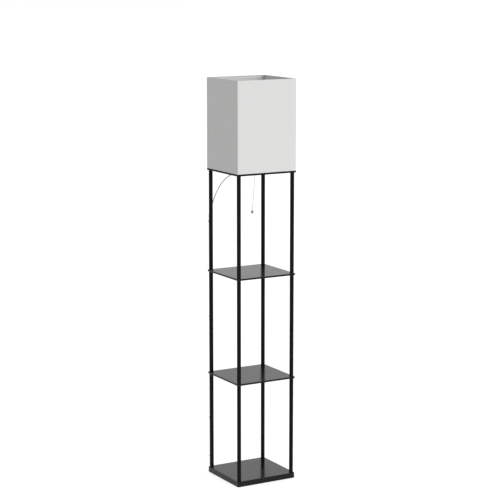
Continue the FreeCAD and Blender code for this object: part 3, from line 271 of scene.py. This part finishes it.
def black_laminate(name):
    """A satin black board with a barely raised grain along its width."""
    board = Surface(name, IOR=1.255, Metallic=0.0)
    grain = board.noise(1.0, 4, board.stretched(5, 130, 130), 0.6)
    pores = board.noise(1.0, 2, board.stretched(38, 1100, 1100))
    board.colour(board.between(grain, 0, 1), (0.004, 0.004, 0.0043), (0.011, 0.011, 0.0115))
    board.roughness(board.between(grain, 0.12, 0.23))
    board.bump(grain, 0.00003, 0.25)
    board.bump(board.between(pores, 0, 1, 0.28, 0.45), 0.000015, 0.2)
    return board.material


def plain_metal(name, low, high, rough=(0.22, 0.34), brushed=False):
    """Plated or bare metal with slight patches, brushed along its length if asked."""
    metal = Surface(name, Metallic=1.0)
    metal.colour(metal.between(metal.noise(120, 4), 0, 1), low, high)
    metal.roughness(metal.between(metal.noise(300, 3), *rough))
    if brushed:
        metal.bump(metal.noise(1.0, 2, metal.stretched(3000, 3000, 120)), 0.00001, 0.5)
    else:
        metal.bump(metal.noise(700, 3), 0.000012, 0.4)
    return metal.material


def moulded(name, low, high, rough=(0.38, 0.5), grain=1800, depth=0.00002, **fixed):
    """Moulded plastic or rubber with a fine texture."""
    plastic = Surface(name, **fixed)
    plastic.colour(plastic.between(plastic.noise(70, 3), 0, 1), low, high)
    plastic.roughness(plastic.between(plastic.noise(220, 3), *rough))
    plastic.bump(plastic.noise(grain, 2), depth, 0.5)
    return plastic.material


def threaded(name, pitch):
    """Bare metal with a rolled thread along Z."""
    metal = Surface(name, Metallic=1.0)
    metal.colour(metal.between(metal.noise(200, 3), 0, 1), (0.4, 0.4, 0.4), (0.54, 0.54, 0.53))
    metal.roughness(metal.between(metal.noise(400, 3), 0.3, 0.42))
    _, _, z = metal.split(metal.place)
    metal.bump(metal.math("SINE", metal.math("MULTIPLY", z, 2 * math.pi / pitch)), 0.00025, 1.0)
    return metal.material


def cement(name):
    """Rough cast cement."""
    slab = Surface(name)
    slab.colour(slab.between(slab.noise(60, 6, None, 0.65), 0, 1), (0.34, 0.33, 0.31), (0.5, 0.49, 0.46))
    slab.roughness(slab.between(slab.noise(200, 3), 0.85, 0.97))
    slab.bump(slab.noise(260, 5, None, 0.7), 0.0006, 0.7)
    return slab.material


def hardboard(name):
    """Pressed wood fibre."""
    board = Surface(name)
    fibres = board.noise(420, 6, None, 0.7)
    board.colour(board.between(fibres, 0, 1), (0.13, 0.08, 0.045), (0.23, 0.15, 0.09))
    board.roughness(board.between(fibres, 0.75, 0.9))
    board.bump(fibres, 0.0001, 0.5)
    return board.material


def wall_coordinates(cloth):
    """Along the wall and up it, on any of the four walls."""
    x, y, z = cloth.split(cloth.place)
    nx, ny, _ = cloth.split(cloth.where.outputs["Normal"])
    side = cloth.math("GREATER_THAN", cloth.math("ABSOLUTE", nx), cloth.math("ABSOLUTE", ny))
    along = cloth.math("ADD", cloth.math("MULTIPLY", side, y),
                       cloth.math("MULTIPLY", cloth.math("SUBTRACT", 1.0, side), x))
    return along, z


def woven(name, light, shade, thread):
    """Plain-woven cloth with slubs: threads cross over and under, some thicker than others."""
    cloth = Surface(name, Sheen_Weight=0.08, Sheen_Roughness=0.5)
    along, up = wall_coordinates(cloth)
    weft = cloth.noise(1.0, 3, cloth.join(cloth.math("MULTIPLY", along, 26.0),
                                          cloth.math("MULTIPLY", up, 900.0), 0.0), 0.6)
    warp = cloth.noise(1.0, 3, cloth.join(cloth.math("MULTIPLY", along, 900.0),
                                          cloth.math("MULTIPLY", up, 26.0), 0.0), 0.6)
    slub = cloth.math("ADD", cloth.math("MULTIPLY", weft, 0.55), cloth.math("MULTIPLY", warp, 0.45))
    wander = cloth.math("MULTIPLY", cloth.math("SUBTRACT", slub, 0.5), 1.6)
    turn = math.pi / thread
    over = cloth.math("SINE", cloth.math("ADD", cloth.math("MULTIPLY", along, turn), wander))
    under = cloth.math("SINE", cloth.math("ADD", cloth.math("MULTIPLY", up, turn), wander))
    crossing = cloth.math("MULTIPLY", over, under)
    cloth.colour(cloth.between(slub, 0, 1, 0.34, 0.66), shade, light)
    cloth.roughness(cloth.between(slub, 0.86, 0.96))
    cloth.bump(cloth.math("ADD", cloth.math("MULTIPLY", crossing, 0.35), slub), 0.00012, 0.35)
    return cloth.material


MATERIALS = {
    "black_steel": powder_coat("black_powder_coat", 1.18, (0.4, 0.5), 0.00002),
    "shelf_board": black_laminate("black_laminate"),
    "weight_slab": cement("cement"),
    "closing_board": hardboard("hardboard"),
    "foot_rubber": moulded("foot_rubber", (0.02, 0.02, 0.02), (0.032, 0.032, 0.032), (0.7, 0.85)),
    "fastener_steel": plain_metal("zinc_steel", (0.42, 0.42, 0.43), (0.56, 0.56, 0.57), (0.28, 0.42), True),
    "holder_plastic": moulded("black_phenolic", (0.013, 0.013, 0.014), (0.02, 0.02, 0.021), (0.32, 0.44)),
    "cord_plastic": moulded("cord_vinyl", (0.86, 0.86, 0.852), (0.9, 0.9, 0.892), (0.36, 0.48), 700,
                            0.000006),
    "clip_plastic": moulded("clip_plastic", (0.62, 0.62, 0.61), (0.7, 0.7, 0.69), (0.3, 0.42)),
    "tie_plastic": moulded("tie_plastic", (0.02, 0.02, 0.02), (0.03, 0.03, 0.03), (0.4, 0.55)),
    "contact_brass": plain_metal("brass", (0.66, 0.47, 0.2), (0.8, 0.6, 0.3), (0.24, 0.4)),
    "shell_brass": plain_metal("washed_brass", (0.62, 0.53, 0.36), (0.74, 0.64, 0.46), (0.2, 0.34)),
    "drum_plastic": moulded("brown_phenolic", (0.2, 0.1, 0.04), (0.32, 0.17, 0.08), (0.35, 0.5)),
    "spring_steel": plain_metal("spring_steel", (0.3, 0.3, 0.32), (0.42, 0.42, 0.44), (0.25, 0.4), True),
    "nickel_chain": plain_metal("nickel", (0.22, 0.218, 0.212), (0.3, 0.297, 0.29), (0.2, 0.32)),
    "nickel_knob": plain_metal("satin_nickel", (0.29, 0.29, 0.286), (0.35, 0.35, 0.344), (0.3, 0.42)),
    "bulb_cap_metal": plain_metal("cap_aluminium", (0.66, 0.66, 0.66), (0.8, 0.8, 0.8), (0.25, 0.4)),
    "bulb_plastic": moulded("bulb_housing", (0.78, 0.78, 0.77), (0.84, 0.84, 0.83), (0.32, 0.42)),
    "opal_globe": moulded("opal_globe", (0.84, 0.84, 0.82), (0.88, 0.88, 0.86), (0.28, 0.36), 900,
                          Subsurface_Weight=0.15),
    "shade_fabric": woven("shade_linen", (0.86, 0.86, 0.852), (0.8, 0.8, 0.792), 0.00085),
    "white_wire": moulded("white_enamel", (0.76, 0.76, 0.75), (0.82, 0.82, 0.81), (0.28, 0.4)),
}
BASE_FINISH = powder_coat("black_satin_coat", 1.28, (0.14, 0.2), 0.000012)
# The backing's grey tone, darker than the cloth's, is painted shade for the shade that falls inside the
# lampshade.
LINING_WITH_PAINTED_SHADE = moulded("shade_lining", (0.74, 0.74, 0.738), (0.78, 0.78, 0.778), (0.55, 0.7), 900, 0.00001)
NIPPLE_THREAD = threaded("nipple_thread", 1 * MM)


def finish_node(node, material):
    for slot in NODES[node].material_slots:
        slot.material = material


for part in frame["record"]["subparts"]:
    finish_node(part["node"], MATERIALS[part["material_slot"]])
finish_node("base_cover", BASE_FINISH)
finish_node("holder_nipple", NIPPLE_THREAD)


# ------------------------------------------------------------------------------------------
# Building pieces
# ------------------------------------------------------------------------------------------


def add_piece(name, mesh, body, slot, replaced=(), material=None, smooth=True):
    """Link a mesh as a finished piece that rides on a body and takes its finish from a slot."""
    piece = bpy.data.objects.new(name, mesh)
    SCENE.collection.objects.link(piece)
    mesh.materials.append(material or MATERIALS[slot])
    if smooth:
        mesh.shade_smooth()
    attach(piece, body)
    if replaced:
        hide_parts(*replaced)
    return piece


def grid_mesh(name, rows, close_round=True, cap_start=False, cap_end=False):
    """A skin over rows of points; each row closes on itself if asked."""
    mesh = bpy.data.meshes.new(name)
    count = len(rows[0])
    faces = []
    for row in range(len(rows) - 1):
        for index in range(count if close_round else count - 1):
            after = (index + 1) % count
            faces.append((row * count + index, row * count + after,
                          (row + 1) * count + after, (row + 1) * count + index))
    if cap_start:
        faces.append(tuple(range(count - 1, -1, -1)))
    if cap_end:
        faces.append(tuple((len(rows) - 1) * count + index for index in range(count)))
    mesh.from_pydata([tuple(point) for row in rows for point in row], [], faces)
    box = bmesh.new()
    box.from_mesh(mesh)
    bmesh.ops.remove_doubles(box, verts=box.verts, dist=1e-7)
    bmesh.ops.recalc_face_normals(box, faces=box.faces)
    box.to_mesh(mesh)
    box.free()
    return mesh


def smooth_profile(points, steps=5):
    """Points of a smooth line through the given (radius, height) pairs."""
    line = []
    padded = [points[0], *points, points[-1]]
    for index in range(1, len(padded) - 2):
        before, start, end, after = (Vector(point) for point in padded[index - 1:index + 3])
        for step in range(steps):
            share = step / steps
            line.append(0.5 * ((2 * start) + (end - before) * share
                               + (2 * before - 5 * start + 4 * end - after) * share ** 2
                               + (3 * start - before - 3 * end + after) * share ** 3))
    line.append(Vector(points[-1]))
    return line


def circle(radius, height, sides):
    """Points round the Z axis at a height."""
    angles = [2 * math.pi * side / sides for side in range(sides)]
    return [Vector((radius * math.cos(angle), radius * math.sin(angle), height)) for angle in angles]


def lathe_mesh(name, profile, origin=(0, 0, 0), axis=(0, 0, 1), sides=48):
    """A turned skin about an axis, from (radius, height) pairs in millimetres."""
    turn = Vector(axis).to_track_quat("Z", "Y").to_matrix()
    rows = []
    for radius, height in profile:
        rows.append([turn @ spot + Vector(origin) for spot in circle(radius * MM, height * MM, sides)])
    return grid_mesh(name, rows)


def rounded_rectangle(half_x, half_y, corner, steps=4, pieces=1):
    """Points round a rectangle with rounded corners, anticlockwise; each side is cut into pieces."""
    points = []
    for index, (sx, sy) in enumerate(((1, 1), (-1, 1), (-1, -1), (1, -1))):
        for step in range(steps + 1):
            angle = (index + step / steps) * math.pi / 2
            points.append(Vector((sx * (half_x - corner) + corner * math.cos(angle),
                                  sy * (half_y - corner) + corner * math.sin(angle))))
    if pieces == 1:
        return points
    filled = []
    for index, point in enumerate(points):
        after = points[(index + 1) % len(points)]
        cuts = pieces if (after - point).length > 2 * corner else 1
        for cut in range(cuts):
            filled.append(point.lerp(after, cut / cuts))
    return filled


# ------------------------------------------------------------------------------------------
# Cord, from the strain relief to the plug
# ------------------------------------------------------------------------------------------

# Millimetres in this section, up to where each piece is made.
CORD_RADIUS = 2.5
BACK = 126.4  # the cord behind the post, clear of the shelves' rear edges
FAR = BACK + 30  # the hank's far side
WAIST_NEAR, WAIST_FAR = BACK + 12.2, BACK + 17.8  # where the tie draws it in
LOW, HIGH = CORD_RADIUS, 8.1  # heights of its two layers
LIFT = 1.0  # how far the tie that passes under it lifts the cord
WAIST_X = -14.5  # middle of the tie
GLAND_TIP = (-26.634, 30.105, 1246.021)
GLAND_WAY = (-0.60054, 0.67880, -0.42262)
GLAND_LENGTH = 30.0
GLAND_ROOT_RADIUS, GLAND_TIP_RADIUS = 4.5, 3.2
GLAND_RIBS, GLAND_PLAIN_LENGTH, GLAND_END_LENGTH = 6, 8.0, 1.0
GLAND_GROOVE = 0.62
PLUG_START = 73.5
PLUG_HEIGHT = 6.0  # middle of the plug above the floor
TIE_GAP, TIE_BAND, TIE_HALF_WIDTH = 0.3, 0.7, 3.0
TIE_CORNER, TIE_EDGE_ROUND, TIE_EDGE_INSET = 2.0, 0.15, 0.2

# Control points of the route, the same as the source's route.
CORD_ROUTE = [
    GLAND_TIP,
    (-39.846, 45.039, 1236.724),
    (-55.68, 62.95, 1222.3),
    (-70.32, 79.38, 1206.2),
    (-82.2, 92.78, 1187.2),
    (-91.32, 103.14, 1165.2),
    (-98.64, 111.36, 1141.8),
    (-104.76, 117.93, 1116.0),
    (-112.44, 123.75, 1091.5),
    (-120.0, BACK, 1067.0),
    (-120.0, BACK, 1041.5),
    (-120.0, BACK, 46.0),
    (-120.0, BACK, 20.5),
    (-102.0, BACK, LOW),
    (-78.0, BACK, LOW),
]

# The hank: in along the floor, round and back with a climb, round again and out on top.
HANK_ROUTE = [
    (-60.0, BACK, LOW),
    (-42.6, BACK, LOW + 0.2),
    (-23.9, WAIST_NEAR, LOW + LIFT),
    (-5.1, WAIST_NEAR, LOW + LIFT),
    (13.6, BACK, LOW + 0.2),
    (29.2, BACK, LOW),
    (38.0, BACK + 8.8, LOW),
    (38.0, BACK + 21.2, LOW),
    (29.2, FAR, LOW),
    (13.6, FAR, LOW + 0.6),
    (-5.1, WAIST_FAR, LOW + 2.1),
    (-23.9, WAIST_FAR, LOW + 3.5),
    (-42.6, FAR, HIGH - 0.6),
    (-58.2, FAR, HIGH),
    (-67.0, BACK + 21.2, HIGH),
    (-67.0, BACK + 8.8, HIGH),
    (-58.2, BACK, HIGH),
    (-42.6, BACK, HIGH + 0.2),
    (-23.9, WAIST_NEAR, HIGH + LIFT),
    (-5.1, WAIST_NEAR, HIGH + LIFT),
    (20.0, WAIST_NEAR, HIGH + LIFT),
    (44.0, WAIST_NEAR, HIGH + LIFT),
    (52.0, WAIST_NEAR, HIGH + 0.3),
    (60.0, WAIST_NEAR, PLUG_HEIGHT + 0.3),
    (68.5, WAIST_NEAR, PLUG_HEIGHT),
    (PLUG_START, WAIST_NEAR, PLUG_HEIGHT),
]

# The plug's own relief: where each rib starts, its radius and that of the groove after it.
PLUG_RIBS = [(73.0, 3.1, 2.75), (79.0, 3.5, 3.0), (85.0, 3.9, 3.3)]

# The plug's block: stations with half its width and thickness, and how square it is (1 is round).
PLUG_BLOCK = [
    (91.2, 4.4, 4.4, 1.0), (92.2, 6.4, 5.0, 0.8), (94.5, 8.4, 5.4, 0.6), (98.0, 9.4, 5.6, 0.5),
    (103.0, 8.9, 5.2, 0.5), (109.0, 9.0, 5.2, 0.5), (114.0, 9.7, 5.8, 0.42), (118.0, 10.0, 6.0, 0.36),
    (120.6, 10.0, 6.0, 0.36), (121.5, 9.4, 5.5, 0.42),
]


def make_cord():
    """The whole cord and its hank, as one smooth line."""
    data = bpy.data.curves.new("power_cord_run", "CURVE")
    data.dimensions = "3D"
    data.bevel_depth = CORD_RADIUS * MM
    data.bevel_resolution = 6
    data.use_fill_caps = True
    data.resolution_u = 14
    spline = data.splines.new("NURBS")
    points = CORD_ROUTE + HANK_ROUTE
    spline.points.add(len(points) - 1)
    for point, place in zip(spline.points, points):
        point.co = (place[0] * MM, place[1] * MM, place[2] * MM, 1.0)
    spline.order_u = 3
    spline.use_endpoint_u = True
    cord = bpy.data.objects.new("power_cord_run", data)
    SCENE.collection.objects.link(cord)
    data.materials.append(MATERIALS["cord_plastic"])
    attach(cord, "frame")
    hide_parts("power_cord", "cord_hank")
    return cord


def make_gland():
    """A ribbed strain relief that narrows towards the cord."""
    way = Vector(GLAND_WAY)
    origin = (Vector(GLAND_TIP) - way * GLAND_LENGTH) * MM
    pitch = (GLAND_LENGTH - GLAND_PLAIN_LENGTH - GLAND_END_LENGTH) / GLAND_RIBS

    def cone(height):
        return GLAND_ROOT_RADIUS + (GLAND_TIP_RADIUS - GLAND_ROOT_RADIUS) * height / GLAND_LENGTH

    profile = [(0.0, 0.0), (cone(0.0), 0.0), (cone(GLAND_PLAIN_LENGTH), GLAND_PLAIN_LENGTH)]
    for rib in range(GLAND_RIBS):
        start = GLAND_PLAIN_LENGTH + rib * pitch
        for share, depth in ((0.12, GLAND_GROOVE), (0.45, GLAND_GROOVE), (0.57, 0.0), (1.0, 0.0)):
            height = start + share * pitch
            profile.append((cone(height) - depth, height))
    profile += [(GLAND_TIP_RADIUS, GLAND_LENGTH), (CORD_RADIUS, GLAND_LENGTH)]
    mesh = lathe_mesh("strain_relief", profile, origin, way, 32)
    return add_piece("strain_relief", mesh, "frame", "cord_plastic", ["cord_gland"], smooth=False)


def make_plug():
    """A moulded flat plug: round at its relief, then swelling to a soft-edged block."""
    stations = []
    for start, rib, groove in PLUG_RIBS:
        for x, radius in ((max(start, PLUG_START), rib), (start + 2, rib),
                          (start + 3, groove), (start + 5, groove)):
            stations.append((x, radius, radius, 1.0))
    rows = []
    sides = 40
    for x, half_y, half_z, power in stations + PLUG_BLOCK:
        row = []
        for side in range(sides):
            angle = 2 * math.pi * side / sides
            cosine, sine = math.cos(angle), math.sin(angle)
            y = math.copysign(abs(cosine) ** power, cosine) * half_y
            z = math.copysign(abs(sine) ** power, sine) * half_z
            row.append(Vector((x, WAIST_NEAR + y, PLUG_HEIGHT + z)) * MM)
        rows.append(row)
    mesh = grid_mesh("plug", rows, True, True, True)
    return add_piece("plug", mesh, "frame", "cord_plastic", ["plug_body"], smooth=False)


def make_tie():
    """A flat band round the hank's waist, with softened edges."""
    room = CORD_RADIUS + TIE_GAP
    low, high = LOW + LIFT - room, HIGH + LIFT + room
    near, far = WAIST_NEAR - room, WAIST_FAR + room
    middle = Vector((WAIST_X, (near + far) / 2, (low + high) / 2))
    half_y, half_z = (far - near) / 2, (high - low) / 2
    edge, inner_edge = TIE_HALF_WIDTH, TIE_HALF_WIDTH - TIE_EDGE_INSET
    rows = []
    for x, grow in ((-edge, TIE_EDGE_ROUND), (-edge, TIE_BAND - TIE_EDGE_ROUND), (-inner_edge, TIE_BAND),
                    (inner_edge, TIE_BAND), (edge, TIE_BAND - TIE_EDGE_ROUND), (edge, TIE_EDGE_ROUND),
                    (inner_edge, 0.0), (-inner_edge, 0.0)):
        outline = rounded_rectangle(half_y + grow, half_z + grow, TIE_CORNER + grow, steps=6)
        rows.append([(middle + Vector((x, point.x, point.y))) * MM for point in outline])
    rows.append(rows[0])
    mesh = grid_mesh("hank_band", rows)
    return add_piece("hank_band", mesh, "frame", "tie_plastic", ["hank_tie"], smooth=False)


cord_piece = make_cord()
make_gland()
plug_piece = make_plug()
tie_piece = make_tie()


# ------------------------------------------------------------------------------------------
# Shade
# ------------------------------------------------------------------------------------------

PANEL_LOW, PANEL_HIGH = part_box("shade_panel_front")
SHADE_LOW, SHADE_HIGH = PANEL_LOW[2], PANEL_HIGH[2]
SHADE_HALF_X, SHADE_HALF_Y = PANEL_HIGH[0], -PANEL_LOW[1]
HEM = 10 * MM  # turned in at the top and the bottom
WALL = 1.2 * MM  # cloth, backing and hem together
CLOTH = 0.4 * MM
CORNER = 0.9 * MM
LEAST_CORNER = 0.25 * MM
BOW = 0.5 * MM  # how far the cloth is drawn in at the middle of a wall
HEM_MARGIN = 2 * MM  # from a crease to the plain wall
LINING_SET_BACK = 1.2 * MM  # backing short of the cloth's folds
LINING_GAP = 0.03 * MM
SEAM_START, SEAM_WIDTH, SEAM_PROUD = 6 * MM, 11 * MM, 0.5 * MM
SEAM_SET_BACK = 0.4 * MM
SEAM_EDGE = 0.15 * MM
CREASE_REACH, CREASE_LINE, CREASE_DEPTH = 0.9 * MM, 0.3 * MM, 0.12 * MM
WALL_ROWS = 18
WALL_PIECES = 14
FOLD_STEPS = 8
FOLD_SHARP = math.radians(50)
SEAM_SHARP = math.radians(40)


def faces_front_or_rear(x, y):
    return abs(y) / SHADE_HALF_Y > abs(x) / SHADE_HALF_X


def wall_bow(x, y, z):
    """How far a wall is drawn in between its corners and rings, as a share from 0 to 1."""
    reach = abs(x) / SHADE_HALF_X if faces_front_or_rear(x, y) else abs(y) / SHADE_HALF_Y
    across = max(0.0, 1 - reach ** 2)
    share = (z - SHADE_LOW) / (SHADE_HIGH - SHADE_LOW)
    up = max(0.0, 1 - (2 * share - 1) ** 4)
    return across * up


def wall_row(inset, z):
    """Points round the shade at a height, an inset inside its outer face."""
    row = []
    corner = max(CORNER - inset, LEAST_CORNER)
    for x, y in rounded_rectangle(SHADE_HALF_X - inset, SHADE_HALF_Y - inset, corner, pieces=WALL_PIECES):
        pull = BOW * wall_bow(x, y, z)
        if faces_front_or_rear(x, y):
            y -= math.copysign(pull, y)
        else:
            x -= math.copysign(pull, x)
        row.append(Vector((x, y, z)))
    return row


def wall_levels(low, high):
    return [low + (high - low) * step / WALL_ROWS for step in range(WALL_ROWS + 1)]


def crease(z):
    """The pressed line where the hem ends inside."""
    return [(0.0, z + CREASE_REACH), (CREASE_DEPTH, z + CREASE_LINE),
            (CREASE_DEPTH, z - CREASE_LINE), (0.0, z - CREASE_REACH)]


def fold_arc(edge, way):
    """Over the top edge from inside to outside (way 1), or under the bottom one and back in (way -1)."""
    fold = WALL / 2
    angles = [math.pi * step / FOLD_STEPS for step in range(1, FOLD_STEPS)]
    return [(fold + way * fold * math.cos(angle), edge + way * (fold * math.sin(angle) - fold))
            for angle in angles]


def offset_line(line, gap):
    """The same line a gap away, on its left going along it."""
    points = [Vector(point) for point in line]
    moved = []
    for index, point in enumerate(points):
        way = (points[min(index + 1, len(points) - 1)] - points[max(index - 1, 0)]).normalized()
        moved.append((point.x - way.y * gap, point.y + way.x * gap))
    return moved


def make_shade_cloth():
    """The cloth: down the outside, turned in over the top and bottom edges as a hem."""
    fold = WALL / 2
    outer = [(WALL, SHADE_HIGH - HEM), (WALL, SHADE_HIGH - fold)]
    outer += [*fold_arc(SHADE_HIGH, 1), (0.0, SHADE_HIGH - fold), *crease(SHADE_HIGH - HEM)]
    outer += [(0.0, z) for z in wall_levels(SHADE_HIGH - HEM - HEM_MARGIN, SHADE_LOW + HEM + HEM_MARGIN)]
    outer += [*crease(SHADE_LOW + HEM), (0.0, SHADE_LOW + fold), *fold_arc(SHADE_LOW, -1)]
    outer += [(WALL, SHADE_LOW + fold), (WALL, SHADE_LOW + HEM)]
    inner = offset_line(outer, CLOTH)
    section = outer + inner[::-1]
    mesh = grid_mesh("shade_cloth", [wall_row(inset, z) for inset, z in section + section[:1]])
    mesh.set_sharp_from_angle(angle=FOLD_SHARP)
    return add_piece("shade_cloth", mesh, "shade", "shade_fabric",
                     ["shade_panel_front", "shade_panel_rear", "shade_panel_left", "shade_panel_right"])


def make_shade_lining():
    """The stiff white backing inside the cloth, toned darker than the cloth as painted shade on the shade's
    inside walls.
    """
    front, back = CLOTH + LINING_GAP, WALL - CLOTH - LINING_GAP
    levels = wall_levels(SHADE_LOW + LINING_SET_BACK, SHADE_HIGH - LINING_SET_BACK)
    section = [(front, z) for z in levels] + [(back, z) for z in levels[::-1]]
    mesh = grid_mesh("shade_lining", [wall_row(inset, z) for inset, z in section + section[:1]])
    mesh.set_sharp_from_angle(angle=FOLD_SHARP)
    return add_piece("shade_lining", mesh, "shade", "shade_fabric", material=LINING_WITH_PAINTED_SHADE)


def make_shade_seam():
    """The lap where the cloth's two ends meet, at the rear beside the left corner."""
    section = [(0.0, 0.0), (SEAM_EDGE, SEAM_PROUD), (SEAM_WIDTH / 2, SEAM_PROUD),
               (SEAM_WIDTH - SEAM_EDGE, SEAM_PROUD), (SEAM_WIDTH, 0.0)]
    rows = []
    for z in wall_levels(SHADE_LOW + SEAM_SET_BACK, SHADE_HIGH - SEAM_SET_BACK):
        row = []
        for across, proud in section:
            x = SEAM_START - SHADE_HALF_X + across
            row.append(Vector((x, SHADE_HALF_Y - BOW * wall_bow(x, SHADE_HALF_Y, z) + proud, z)))
        rows.append(row)
    mesh = grid_mesh("shade_seam", rows, False)
    mesh.set_sharp_from_angle(angle=SEAM_SHARP)
    return add_piece("shade_seam", mesh, "shade", "shade_fabric")


shade_cloth = make_shade_cloth()
make_shade_lining()
shade_seam = make_shade_seam()


# ------------------------------------------------------------------------------------------
# Bulb and pull knob
# ------------------------------------------------------------------------------------------

# Millimetres, up to where each piece is made.
GLOBE_RADIUS = 30.0
GLOBE_STEPS = 32
CAP_RADIUS = 13.1
CAP_FOOT_RINGS = [(5.0, 0.0), (6.0, 0.0), (7.2, 1.2)]  # radius, and height above the cap's foot
CAP_CONE = 5.5  # its tapered foot
CAP_COLLAR = 1.4  # plain band above the thread
THREAD_PITCH, THREAD_DEPTH = 3.63, 0.9
THREAD_END, THREAD_FADE = 2.0, 1.5  # where the thread stops below the top, and how it runs out
CAP_SIDES, THREAD_STEPS = 64, 96
CHAIN_TILT = 4.7  # degrees off plumb, as photographed
CHAIN_REACH = 31.2  # in front of the holder's axis
CHAIN_BEADS, BEAD_PITCH = 47, 3.3


def make_bulb():
    """The bulb's lower body, which widens upwards, and its opal globe."""
    foot, top = (corner[2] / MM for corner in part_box("bulb_housing"))
    body = smooth_profile([(13.2, foot), (13.9, foot + 0.6), (14.6, foot + 4), (16.6, foot + 12),
                           (20.4, foot + 22), (24.6, foot + 32), (26.9, top - 0.8)], 4)
    profile = [(0.0, foot), *[(spot.x, spot.y) for spot in body], (26.9, top - 0.2), (25.6, top)]
    mesh = lathe_mesh("bulb_lower_body", profile, sides=64)
    add_piece("bulb_lower_body", mesh, "bulb", "bulb_plastic", ["bulb_housing"])
    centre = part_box("bulb_globe")[1][2] / MM - GLOBE_RADIUS
    start = math.asin((top - centre) / GLOBE_RADIUS)
    angles = [start + (math.pi / 2 - start) * step / GLOBE_STEPS for step in range(GLOBE_STEPS + 1)]
    profile = [(max(GLOBE_RADIUS * math.cos(angle), 0.0), centre + GLOBE_RADIUS * math.sin(angle))
               for angle in angles]
    mesh = lathe_mesh("bulb_dome", profile, sides=64)
    add_piece("bulb_dome", mesh, "bulb", "opal_globe", ["bulb_globe"])


def make_bulb_cap():
    """The screw cap, with its rolled thread."""
    foot, top = (corner[2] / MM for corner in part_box("bulb_screw_cap"))
    root = CAP_RADIUS - THREAD_DEPTH
    thread_foot, thread_top = foot + CAP_CONE, top - THREAD_END
    rows = [circle(radius, foot + height, CAP_SIDES) for radius, height in CAP_FOOT_RINGS]
    rows.append(circle(root, thread_foot, CAP_SIDES))
    for step in range(THREAD_STEPS + 1):
        height = thread_foot + (thread_top - thread_foot) * step / THREAD_STEPS
        fade = min(1.0, (height - thread_foot) / THREAD_FADE, (thread_top - height) / THREAD_FADE)
        row = []
        for side in range(CAP_SIDES):
            angle = 2 * math.pi * side / CAP_SIDES
            wave = 0.5 + 0.5 * math.cos(2 * math.pi * (height / THREAD_PITCH) - angle)
            radius = root + THREAD_DEPTH * wave * max(fade, 0.0)
            row.append(Vector((radius * math.cos(angle), radius * math.sin(angle), height)))
        rows.append(row)
    rows += [circle(CAP_RADIUS, height, CAP_SIDES) for height in (top - CAP_COLLAR, top)]
    mesh = grid_mesh("bulb_cap", [[spot * MM for spot in row] for row in rows], True, True, True)
    add_piece("bulb_cap", mesh, "bulb", "bulb_cap_metal", ["bulb_screw_cap"])


def make_knob():
    """A bell-shaped pull with a collar at the chain, in line with the hanging chain."""
    tilt = math.radians(CHAIN_TILT)
    way = Vector((-math.sin(tilt), 0.0, -math.cos(tilt)))
    chain_top = Vector((0.0, -CHAIN_REACH * MM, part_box("pull_chain")[1][2]))
    origin = chain_top + way * CHAIN_BEADS * BEAD_PITCH * MM
    bell = smooth_profile([(1.75, 0.0), (1.8, 0.6), (1.8, 1.1), (3.3, 2.2), (4.8, 3.9), (5.4, 5.8),
                           (5.5, 7.8), (5.1, 10.4), (4.4, 12.1)], 5)
    profile = [(0.0, 0.0), *[(spot.x, spot.y) for spot in bell], (3.7, 12.8), (3.3, 13.0), (0.0, 12.5)]
    mesh = lathe_mesh("chain_pull_bell", profile, origin, way, 40)
    add_piece("chain_pull_bell", mesh, "chain", "nickel_knob", ["pull_knob"])


make_bulb()
make_bulb_cap()
make_knob()
